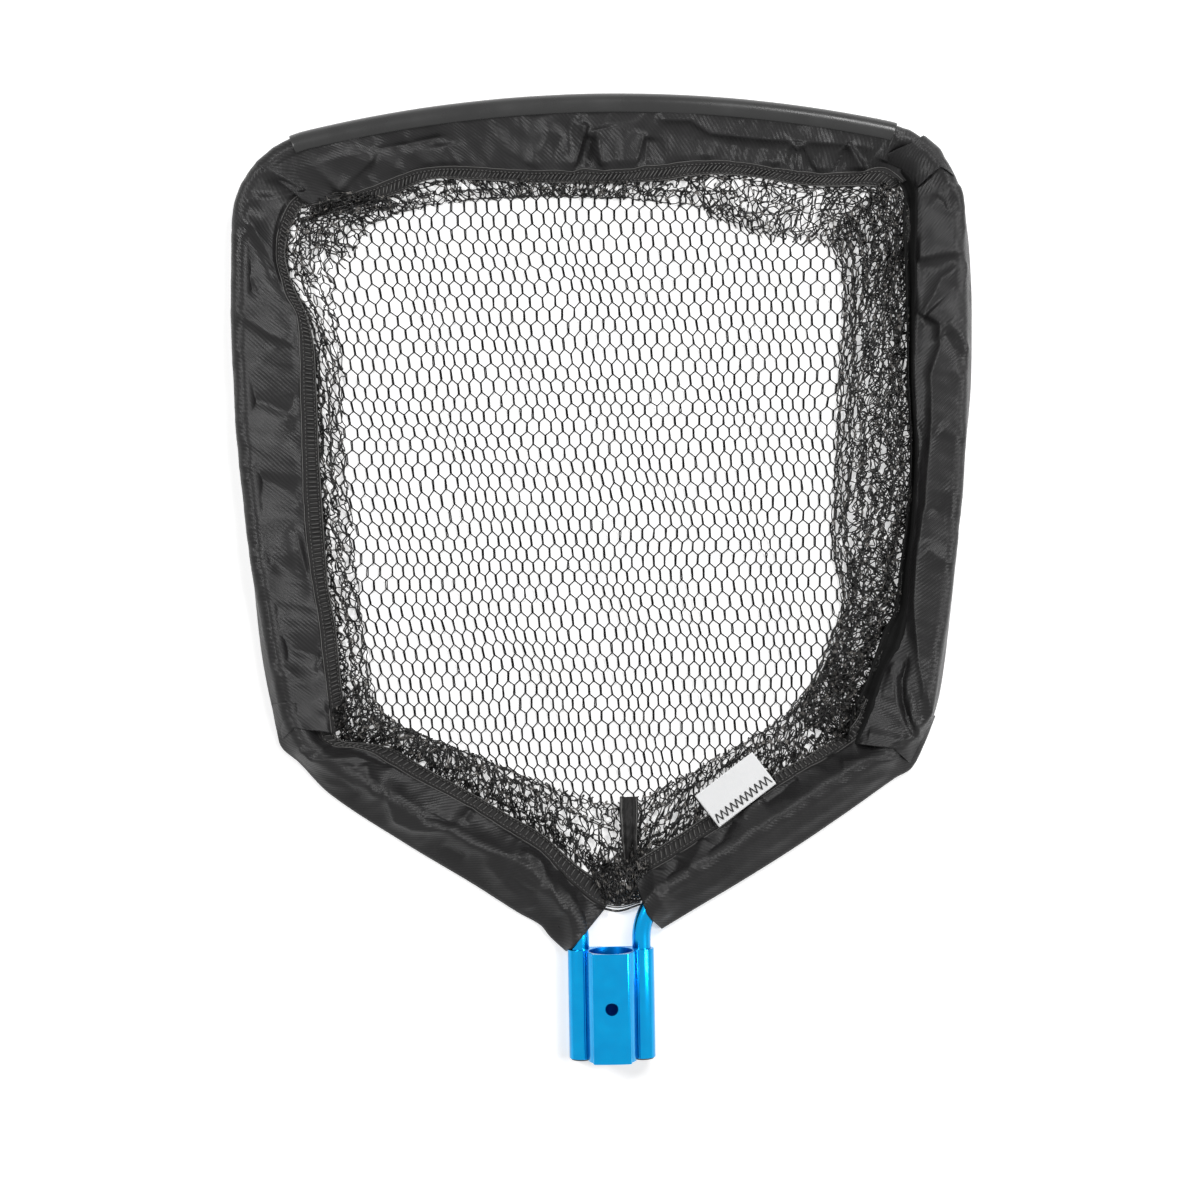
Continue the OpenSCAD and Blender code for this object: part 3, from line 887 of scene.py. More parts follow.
@dataclass
class PoleSocket:
    """Extruded socket with a pole bore, two lobes for the hoop's legs and a flat front pad."""

    finishes: Finishes
    length: float = 70.0
    bore_r: float = 14.2
    wall: float = 1.6
    lobe_r: float = 8.0
    leg_r: float = 6.05
    pad_x: float = 12.4
    pad_z: float = 15.2
    pad_round: float = 2.4
    pad_crown: float = 0.55
    groove_x: float = 17.1
    groove_z: float = -0.1
    groove_r: float = 0.55
    edge: float = 0.3
    button_d: float = 8.0
    chamfer: float = 0.35
    rivet_r: float = 3.15
    rivet_deep: float = 1.5
    pilot_r: float = 1.7
    back_cut: float = 0.2
    drill_sides: int = 48
    sharp_from: float = 28.0

    PAD_ARC = (84, 10, 9)
    WALL_AT = (40, 32, 24, 16, 9)
    GROOVE_ARC = (160, 380, 9)
    LOBE_FROM = 104

    @property
    def back_z(self) -> float:
        """Height of the flat back."""
        return PLAN.tube_z - self.lobe_r + self.back_cut

    def section(self) -> Array:
        """Draws the section's outline, clockwise from the pad's right corner.

        Returns:
            Points as x and z.
        """
        flat_x = self.pad_x - self.pad_round
        round_c = np.array([flat_x, self.pad_z - self.pad_crown - self.pad_round])
        right = [np.array([x, self.pad_z - self.pad_crown * (x / flat_x) ** 2])
                 for x in np.linspace(0.5, flat_x - 0.5, 8)]
        right += round_points(round_c, self.pad_round, np.linspace(*self.PAD_ARC))
        right += round_points(0.0, self.bore_r + self.wall, self.WALL_AT)
        groove, lobe = np.array([self.groove_x, self.groove_z]), np.array([PLAN.leg_x, PLAN.tube_z])
        right += round_points(groove, self.groove_r, np.linspace(*self.GROOVE_ARC))
        low = math.degrees(math.asin((self.back_z - PLAN.tube_z) / self.lobe_r))
        right += round_points(lobe, self.lobe_r, np.linspace(self.LOBE_FROM, low, 40))
        right = np.array(right)
        return np.vstack([right, (right * [-1, 1])[::-1]])

    def ring(self, x: float, z: float, radius: float, count: int = 72) -> Array:
        """A round hole in the section."""
        turn = np.linspace(0, 2 * math.pi, count, endpoint=False)
        return np.stack([x + radius * np.cos(turn), z + radius * np.sin(turn)], axis=1)

    def build(self) -> Object:
        """Extrudes the section, breaks its edges and drills it.

        Returns:
            The socket.
        """
        curve = bpy.data.curves.new("socket section", "CURVE")
        curve.dimensions = "2D"
        curve.fill_mode = "BOTH"
        curve.extrude = (self.length / 2 - self.edge) * MM
        curve.bevel_depth = self.edge * MM
        curve.bevel_resolution = 2
        curve.offset = -self.edge * MM
        legs = [self.ring(side * PLAN.leg_x, PLAN.tube_z, self.leg_r, 48) for side in (-1, 1)]
        for loop in [self.section(), self.ring(0, 0, self.bore_r), *legs]:
            spline = curve.splines.new("POLY")
            spline.points.add(len(loop) - 1)
            spline.points.foreach_set(
                "co", np.column_stack([loop * MM, np.zeros(len(loop)), np.ones(len(loop))]).reshape(-1))
            spline.use_cyclic_u = True
        drawn = bpy.data.objects.new("socket section", curve)
        bpy.context.scene.collection.objects.link(drawn)
        deps = bpy.context.evaluated_depsgraph_get()
        mesh = bpy.data.meshes.new_from_object(drawn.evaluated_get(deps))
        bpy.data.objects.remove(drawn)
        for v in mesh.vertices:
            x, z, y = v.co
            v.co = (x, self.length / 2 * MM - y, z)
        mesh.flip_normals()
        obj = bpy.data.objects.new("socket_body", mesh)
        bpy.context.scene.collection.objects.link(obj)
        clean = bmesh.new()
        clean.from_mesh(mesh)
        bmesh.ops.remove_doubles(clean, verts=clean.verts, dist=1e-6)
        bmesh.ops.recalc_face_normals(clean, faces=clean.faces)
        clean.to_mesh(mesh)
        clean.free()
        self.drill(obj)
        obj.data.shade_smooth()
        obj.data.set_sharp_from_angle(angle=math.radians(self.sharp_from))
        return obj

    def cutter(self, at: tuple, rings: Sequence[tuple[float, float]]) -> Object:
        """Makes a turned solid on an upright axis, for cutting.

        Args:
            at: Foot of the axis.
            rings: Radius and height of each ring, bottom to top.

        Returns:
            The solid.
        """
        turn = np.linspace(0, 2 * math.pi, self.drill_sides, endpoint=False)
        grid = np.array([[(at[0] + r * math.cos(a), at[1] + r * math.sin(a), at[2] + z)
                          for a in turn] for r, z in rings])
        obj = new_object("drill", grid, grid_faces(len(rings), self.drill_sides, True).tolist())
        close_ends(obj, self.drill_sides)
        return obj

    def drill(self, obj: Object) -> None:
        """Cuts the button hole and the two rivet seats.

        Args:
            obj: The socket.
        """
        r, top, middle = self.button_d / 2, self.pad_z, self.length / 2
        button = [(r, 2), (r, top - self.chamfer), (r + self.chamfer, top), (r + 1.4, top + 1)]
        rivet = [(4.2, -1), (self.rivet_r, 0), (self.pilot_r, self.rivet_deep), (self.pilot_r, 4)]
        tools = [self.cutter((0, middle, 0), button)]
        for side in (-1, 1):
            tools.append(self.cutter((side * PLAN.leg_x, middle, self.back_z), rivet))
        for tool in tools:
            cut = obj.modifiers.new("cut", "BOOLEAN")
            cut.operation = "DIFFERENCE"
            cut.object = tool
            settle(obj)
            bpy.data.objects.remove(tool)

    def finish(self) -> None:
        """Builds and dresses the socket, with painted shade inside the bore: a darker copy of the blue metal.
        """
        obj = self.build()
        dress(obj, self.finishes.metal, "anodised_blue", "pole_socket")
        # faces of the bore take the darker copy of the metal as painted shade
        obj.data.materials.append(self.finishes.bore)
        for face in obj.data.polygons:
            x, _, z = face.center / MM
            if math.hypot(x, z) < self.bore_r + 0.05:
                face.material_index = 1


@dataclass
class Hoop:
    """The bent tube, with the caps on its ends and the rivets that hold it."""

    finishes: Finishes
    wall: float = 1.0
    sides: int = 40
    step: float = 3.0

    def build(self) -> Object:
        """Sweeps the tube along its centre line, inside and outside.

        Returns:
            The tube.
        """
        line = evenly(PLAN.whole(), self.step)
        path = np.column_stack([line, np.full(len(line), PLAN.tube_z)])
        outer = tube_grid(path, PLAN.tube_r, self.sides)
        inner = tube_grid(path, PLAN.tube_r - self.wall, self.sides)
        count = len(path) * self.sides
        end = count - self.sides
        j = np.arange(self.sides)
        k = (j + 1) % self.sides
        faces = np.vstack([
            grid_faces(len(path), self.sides, True)[:, ::-1],
            grid_faces(len(path), self.sides, True, count),
            np.stack([j, k, k + count, j + count], axis=1),
            np.stack([end + k, end + j, end + j + count, end + k + count], axis=1),
        ])
        return new_object("hoop_tube", np.concatenate([outer, inner]), faces.tolist())

    def finish(self, nodes: dict) -> None:
        """Builds the tube and dresses it, its caps and its rivets.

        Args:
            nodes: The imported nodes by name.
        """
        dress(self.build(), self.finishes.metal, "anodised_blue", "frame_hoop")
        for name, material in (("tube_end_caps", self.finishes.rubber), ("leg_rivets", self.finishes.rivet)):
            nodes[name].data.materials.clear()
            nodes[name].data.materials.append(material)


@dataclass
class EdgeGuard:
    """Plastic channel over the front bar, with rounded lips and a slightly flattened crown."""

    finishes: Finishes
    inner_r: float = 7.1
    outer_r: float = 8.4
    left_end: Point = (-195.5, 591.0)
    right_end: Point = (192.0, 592.0)
    opening: float = 56.0
    stations: int = 190
    sharp_from: float = 40.0

    ROUNDED_AT = (0.0, 0.25, 0.8)
    ROUNDED_BY = (0.25, 0.06, 0.0)

    def section(self) -> Array:
        """Draws the closed section, as distance outward from the bar's axis and height.

        Returns:
            Points, once round.
        """
        lip = (self.outer_r - self.inner_r) / 2
        middle = self.inner_r + lip
        end = 180 - self.opening
        outside = round_points(0.0, self.outer_r, np.linspace(-end, end, 44))
        inward = round_points(0.0, self.inner_r, np.linspace(end, -end, 30))
        caps = []
        for sign in (1, -1):
            a = math.radians(sign * end)
            centre = np.array([middle * math.cos(a), middle * math.sin(a)])
            caps.append([centre + lip * np.array([math.cos(a + sign * b), math.sin(a + sign * b)])
                         for b in np.radians([45, 90, 135])])
        return np.array(outside + caps[0] + inward + caps[1][::-1])

    def build(self) -> Object:
        """Sweeps the section along the front bar and closes its ends.

        Returns:
            The channel.
        """
        section = self.section()
        line = PLAN.between(self.left_end, self.right_end)
        length = run_length(line)[-1]
        ends, inset = np.array(self.ROUNDED_AT), np.array(self.ROUNDED_BY)
        run = np.concatenate([ends, np.linspace(2, length - 2, self.stations), length - ends[::-1]])
        pull = np.concatenate([inset, np.zeros(self.stations), inset[::-1]])
        at = run_length(line)
        middle = np.stack([np.interp(run, at, line[:, k]) for k in (0, 1)], axis=1)
        outward = left_of(headings(middle))
        lip = (self.outer_r - self.inner_r) / 2
        radius = np.linalg.norm(section, axis=1)
        middle_line = section / radius[:, None] * (self.inner_r + lip)
        rings = []
        for centre, out, p in zip(middle, outward, pull):
            ring = section + (middle_line - section) * min(1.0, p / lip)
            rings.append(np.column_stack([centre + ring[:, :1] * out, PLAN.tube_z + ring[:, 1]]))
        grid = np.array(rings)
        obj = new_object("guard_channel", grid, grid_faces(len(rings), len(section), True).tolist())
        close_ends(obj, 4)
        obj.data.set_sharp_from_angle(angle=math.radians(self.sharp_from))
        return obj

    def finish(self) -> None:
        """Builds and dresses the guard."""
        dress(self.build(), self.finishes.guard, "guard_plastic", "edge_guard")


# -------- cloth


@dataclass(frozen=True)
class Fold:
    """A ridge of cloth along a line, or a hollow where the height is negative.

    left and right are its half widths on either side, as seen along the line. rise and fall
    are the shares of the line over which it comes up and dies away.
    """

    line: Line
    height: float
    left: float
    right: float
    rise: float = 0.25
    fall: float = 0.25
    power: float = 1.35

    def lift(self, at: Array) -> Array:
        """Height of the fold at plan points.

        Args:
            at: Plan points, x and y last.

        Returns:
            One height for each point.
        """
        line = np.array(self.line, dtype=float)
        run = run_length(line)
        nearest = np.full(at.shape[:-1], np.inf)
        side = np.zeros_like(nearest)
        share = np.zeros_like(nearest)
        for i in range(len(line) - 1):
            step = line[i + 1] - line[i]
            t = np.clip((at - line[i]) @ step / (step @ step), 0, 1)
            off = at - (line[i] + t[..., None] * step)
            distance = np.linalg.norm(off, axis=-1)
            closer = distance < nearest
            nearest = np.where(closer, distance, nearest)
            side = np.where(closer, step[0] * off[..., 1] - step[1] * off[..., 0], side)
            share = np.where(closer, (run[i] + t * (run[i + 1] - run[i])) / run[-1], share)
        width = np.where(side > 0, self.left, self.right)
        height = self.height * np.exp(-((nearest / width) ** self.power))
        if self.rise > 0:
            height = height * ease(share / self.rise)
        if self.fall > 0:
            height = height * ease((1 - share) / self.fall)
        return height


class Hold(Enum):
    """How a panel lies on the tube."""

    DRAPED = "draped"
    HUGGING = "hugging"


@dataclass
class ClothPanel:
    """A panel of the sleeve: cloth round the tube, from its outer edge to its stitch line."""

    name: str
    node: str
    outer: Line
    stitch: Line
    tube: tuple[Point, Point]
    folds: Sequence[Fold]
    seed: int
    hold: Hold = Hold.DRAPED
    sag: float = 1.2
    gather: float = 0.7
    gather_pitch: float = 13.0
    unrest: float = 0.35
    drape: float = 1.0
    drape_pitch: float = 34.0
    over: tuple[float, float] = (0.0, 0.0)
    wrap: float = 0.0
    edge_h: float = 3.0
    seam_h: float = 3.2
    step: float = 1.25
    cloth: float = 0.5

    DROP = 10
    CROWN = 16
    SLOPE = 40
    BACK = 12
    FRONT = DROP + CROWN + SLOPE
    HUG_EDGE = 310
    HUG_OUT = 205
    HUG_IN = 48
    HUG_TIGHT = 0.45
    END_RUN = 16

    def stations(self) -> int:
        """How many sections the panel has."""
        return int(run_length(smooth(self.outer, 60))[-1] / self.step)

    def profile(self, reach: Array, width: Array, k_out: Array,
                k_in: Array) -> tuple[Array, Array, Array]:
        """Draws the cloth's sections before any fold.

        Args:
            reach: Distance of the outer edge from the tube's axis, at each station.
            width: Distance of the stitch line from it.
            k_out: How far a slanting section stretches outside the axis.
            k_in: The same inside.

        Returns:
            Distance inward and height of each point, and how much folds move it, which is
            most where the cloth hangs clear of the tube.
        """
        up, r = PLAN.tube_up, PLAN.cloth_r + self.wrap
        low = np.stack([-reach / k_out, np.full_like(reach, self.edge_h - up)], axis=1)
        far = np.stack([width / k_in, np.full_like(width, self.seam_h - up)], axis=1)
        out_a = self.touch(low, r, -1)
        in_a = self.touch(far, r, 1)
        if self.hold is Hold.HUGGING:
            r = r - self.HUG_TIGHT
            out_a = np.full_like(out_a, math.radians(self.HUG_OUT))
            in_a = np.full_like(in_a, math.radians(self.HUG_IN))
        crown = out_a[:, None] + (in_a - out_a)[:, None] * np.linspace(0, 1, self.CROWN)
        k = np.where(np.cos(crown) < 0, k_out[:, None], k_in[:, None])
        crown_d = k * r * np.cos(crown)
        crown_z = up + r * np.sin(crown)
        f = np.linspace(0, 1, self.DROP, endpoint=False)
        drop_d = -reach[:, None] * (1 - f) + crown_d[:, :1] * f
        drop_z = self.edge_h * (1 - f) + crown_z[:, :1] * f
        if self.hold is Hold.HUGGING:
            turn = np.radians(np.linspace(self.HUG_EDGE, self.HUG_OUT, self.DROP, endpoint=False))
            drop_d = np.where(np.cos(turn) < 0, k_out[:, None], k_in[:, None]) * r * np.cos(turn)
            drop_z = np.repeat((up + r * np.sin(turn))[None], len(reach), axis=0)
        g = np.linspace(0, 1, self.SLOPE + 1)[1:]
        slope_d = crown_d[:, -1:] * (1 - g) + width[:, None] * g
        slope_z = crown_z[:, -1:] * (1 - g) + self.seam_h * g - self.sag * np.sin(math.pi * g)
        h = np.linspace(0, 1, self.BACK)
        back_end = drop_d[:, :1] + 0.5
        back_d = width[:, None] * (1 - h) + back_end * h
        back_z = np.repeat((0.15 + 0.9 * (1 - h) ** 8 + 0.25 * np.sin(math.pi * h))[None], len(reach), axis=0)
        if self.hold is Hold.HUGGING:
            back_z = back_z + (drop_z[:, :1] - 0.15) * ease((h - 0.45) / 0.55)
        clear = 0.3 + 0.6 * np.clip((reach / k_out - PLAN.cloth_r - 2) / 8, 0, 1)[:, None]
        crest = ease(np.linspace(0, 1, self.CROWN) / 0.45)[None]
        rest = np.concatenate([1 - 0.75 * ease((g - 0.82) / 0.18), np.zeros(self.BACK)])
        moved = np.concatenate([clear * ease(f / 0.6)[None], clear + (1 - clear) * crest,
                                np.repeat(rest[None], len(reach), axis=0)], axis=1)
        return (np.concatenate([drop_d, crown_d, slope_d, back_d], axis=1),
                np.concatenate([drop_z, crown_z, slope_z, back_z], axis=1), moved)

    @staticmethod
    def touch(point: Array, r: float, side: int) -> Array:
        """Finds where cloth that comes from a point meets the tube's wrap.

        Args:
            point: The point at each station, from the tube's axis.
            r: Radius of the wrap.
            side: -1 outside the axis and 1 inside.

        Returns:
            The angle at each station, in radians.
        """
        bearing = np.arctan2(point[:, 1], point[:, 0])
        bearing = np.where(bearing < -math.pi / 2, bearing + 2 * math.pi, bearing)
        return bearing + side * np.arccos(np.clip(r / np.linalg.norm(point, axis=1), -1, 1))

    def gathers(self, run: Array) -> Array:
        """Small gathers that the stitching draws up, as a height along the stitch line.

        Args:
            run: Distance along the stitch line.

        Returns:
            Height at each place.
        """
        draw = np.random.default_rng(self.seed + 50)
        places = np.arange(0, run[-1] + self.gather_pitch, self.gather_pitch)
        places = places + draw.uniform(-0.4, 0.4, len(places)) * self.gather_pitch
        heights = self.gather * draw.uniform(-0.7, 1.6, len(places))
        widths = self.gather_pitch * draw.uniform(0.12, 0.34, len(places))
        return (heights * np.exp(-(((run[:, None] - places) / widths) ** 2))).sum(axis=1)

    def grid(self) -> Array:
        """Points of the panel, section by section.

        Returns:
            Points as stations, places round the section and x, y, z.
        """
        n = self.stations()
        tube = spread(PLAN.between(*self.tube), n)
        outer, stitch = smooth(self.outer, n), smooth(self.stitch, n)
        ahead = headings(tube)
        inward = left_of(ahead)
        inward *= np.sign((inward * (stitch - tube)).sum(axis=1).mean())
        out_v, in_v = outer - tube, stitch - tube
        reach, width = np.linalg.norm(out_v, axis=1), np.linalg.norm(in_v, axis=1)
        out_u, in_u = out_v / reach[:, None], in_v / width[:, None]
        k_out = 1 / np.clip(-(out_u * inward).sum(axis=1), 0.72, 1)
        k_in = 1 / np.clip((in_u * inward).sum(axis=1), 0.72, 1)
        reach = np.maximum(reach, k_out * (PLAN.cloth_r + self.wrap) + 0.15)
        width = np.maximum(width, k_in * (PLAN.cloth_r + self.wrap) + 2)
        d, z, moved = self.profile(reach, width, k_out, k_in)
        plan = tube[:, None] + out_u[:, None] * np.maximum(-d, 0)[..., None] \
            + in_u[:, None] * np.maximum(d, 0)[..., None]
        lift = sum((fold.lift(plan) for fold in self.folds), np.zeros(d.shape))
        lift = lift + self.unrest * Ripple(self.seed, 70, 9).at(plan)
        slack = Drape(self.seed + 70, self.drape_pitch, self.drape_pitch / 2.7)
        lift = lift + self.drape * slack.at(run_length(tube)[:, None], d, plan)
        run = run_length(stitch)
        near_seam = ease((d / width[:, None] - 0.35) / 0.6)
        lift = lift + self.gathers(run)[:, None] * near_seam
        start, end = self.over
        first, last = ease(1 - run / self.END_RUN), ease((run - run[-1] + self.END_RUN) / self.END_RUN)
        lift = lift + (start * first + end * last)[:, None]
        step_d, step_z = np.gradient(d, axis=1), np.gradient(z, axis=1)
        size = np.hypot(step_d, step_z) + 1e-9
        moved_d = d + moved * lift * -step_z / size
        moved_z = z + moved * lift * step_d / size
        moved_z = np.maximum(moved_z, np.where(moved > 0, 0.7, 0.12))
        plan = tube[:, None] + out_u[:, None] * np.maximum(-moved_d, 0)[..., None] \
            + in_u[:, None] * np.maximum(moved_d, 0)[..., None]
        points = np.concatenate([plan, (PLAN.floor_z + moved_z)[..., None]], axis=2)
        points[:, : self.FRONT] = self.off_tube(points[:, : self.FRONT], tube)
        return points

    @staticmethod
    def off_tube(points: Array, tube: Array) -> Array:
        """Pushes cloth out of the tube where a hollow or a slanting section would press it in.

        Args:
            points: The cloth's points, station by station.
            tube: The tube's centre line, one plan point for each station.

        Returns:
            The points, at least the tube's radius and the cloth's from its axis.
        """
        least = PLAN.tube_r + 0.8
        result = points.copy()
        for i, row in enumerate(points):
            near = tube[max(0, i - 24) : i + 25]
            nearest = near[np.argmin(((row[:, None, :2] - near[None]) ** 2).sum(axis=2), axis=1)]
            off = row - np.column_stack([nearest, np.full(len(row), PLAN.tube_z)])
            size = np.linalg.norm(off, axis=1) + 1e-9
            grow = np.where(off[:, 2] > -3, np.maximum(1, least / size), 1)
            result[i] = row + off * (grow - 1)[:, None]
        return result

    def seam(self) -> Array:
        """The stitch line in space, with its gathers, for the hem that is sewn to it."""
        return self.grid()[:, self.FRONT - 1]

    def finish(self, material: Material) -> None:
        """Builds and dresses the panel.

        Args:
            material: The cloth's finish.
        """
        grid = self.grid()
        obj = grid_object(self.name, grid, closed=True)
        face_up(obj, len(grid) // 2 * grid.shape[1] + self.DROP + self.CROWN // 2)
        thicken(obj, self.cloth)
        dress(obj, material, "sleeve_cloth", self.node)
        along = run_length(grid[:, self.DROP + 5])[-1]


@dataclass
class Hem:
    """Edging sewn over the joint of cloth and net: piping, two stitch rows, overlock bars."""

    name: str
    node: str
    panel: ClothPanel
    inner: Line
    stitched: bool = True
    lap: float = 1.3
    bar_pitch: float = 3.0
    step: float = 0.6
    across: int = 25
    low_z: float = 2.2
    lip: float = 0.0
    hollow: float = 0.0
    thick: float = 0.8

    ROWS = (0.2, 0.8)
    BARS = (0.27, 0.73)
    CORD = 0.97

    def grid(self) -> Array:
        """Points of the edging, ribbed by its bars.

        Returns:
            Points along, across and x, y, z.
        """
        seam = evenly(self.panel.seam(), self.step)
        run = run_length(seam)
        edge = smooth(self.inner, len(seam))
        reach = edge - seam[:, :2]
        width = np.linalg.norm(reach, axis=1)
        side = reach / width[:, None]
        f = np.concatenate([[-1, -0.45], np.linspace(0, 1, self.across - 2)])
        c = np.where(f[None] < 0, f[None] * self.lap, f[None] * width[:, None])
        sway = Ripple(self.panel.seed + 7, 60, 14)
        plan = seam[:, None, :2] + side[:, None] * c[..., None]
        fall = ease(f[None] * 1.15)
        z = (seam[:, 2] + 0.35)[:, None] * (1 - fall) + (PLAN.floor_z + self.low_z) * fall
        z = z - self.hollow * np.exp(-(((f - 0.5) / 0.3) ** 4))
        z = z + (0.3 + self.lip) * np.exp(-(((f - 0.96) / 0.07) ** 2))
        if self.stitched:
            bars = 0.5 + 0.5 * np.sin(2 * math.pi * run / self.bar_pitch)
            z = z - 0.9 * (1 - bars[:, None]) ** 1.5 * np.exp(-(((f - 0.5) / 0.27) ** 6))
            z = z + 0.5 * np.exp(-(((f - 0.08) / 0.06) ** 2))
        z = z + 0.35 * sway.at(plan * 1.4)
        return np.concatenate([plan, np.maximum(z, PLAN.floor_z + 1.0)[..., None]], axis=2)

    def column(self, share: float) -> int:
        """Number of the grid's column at a share of the width."""
        return 2 + int(round(share * (self.across - 3)))

    def stitches(self, grid: Array) -> list[Array]:
        """Paths of the sewing: cross-bars, two running rows and a cord along either edge.

        Args:
            grid: The edging's points.

        Returns:
            One path for each stitch and cord.
        """
        paths = []
        for row in self.ROWS:
            line = evenly(grid[:, self.column(row)], 0.5)
            long, gap = 4, 1
            for i in range(0, len(line) - long, long + gap):
                path = line[i : i + long].copy()
                path[:, 2] += 0.1 + 0.3 * np.sin(np.linspace(0, math.pi, long))
                paths.append(path)
        first, last = (self.column(share) for share in self.BARS)
        run = run_length(grid[:, first])
        for at in np.arange(0.25 * self.bar_pitch, run[-1], self.bar_pitch):
            bar = grid[int(np.argmin(np.abs(run - at))), first : last + 1 : 2].copy()
            bar[:, 2] += 0.15 + 0.25 * np.sin(np.linspace(0, math.pi, len(bar)))
            paths.append(bar)
        for column in (1, self.column(self.CORD)):
            cord = grid[::3, column].copy()
            cord[:, 2] += 0.3
            paths.append(cord)
        return paths

    def finish(self, finishes: Finishes) -> None:
        """Builds and dresses the edging and its stitches.

        Args:
            finishes: The head's finishes.
        """
        grid = self.grid()
        obj = grid_object(self.name, grid, closed=False)
        face_up(obj)
        thicken(obj, self.thick)
        # an unstitched edging takes the darker copy of the edging cloth as painted shade
        dress(obj, finishes.hem if self.stitched else finishes.hem_painted_shade, "binding_cloth", self.node)
        threads = []
        if self.stitched:
            threads.append(tubes_object(self.name + "_stitches", self.stitches(grid), THREAD_R, THREAD_SIDES))
            dress(threads[0], finishes.thread, "binding_cloth")
        along = run_length(grid[:, 3])[-1]


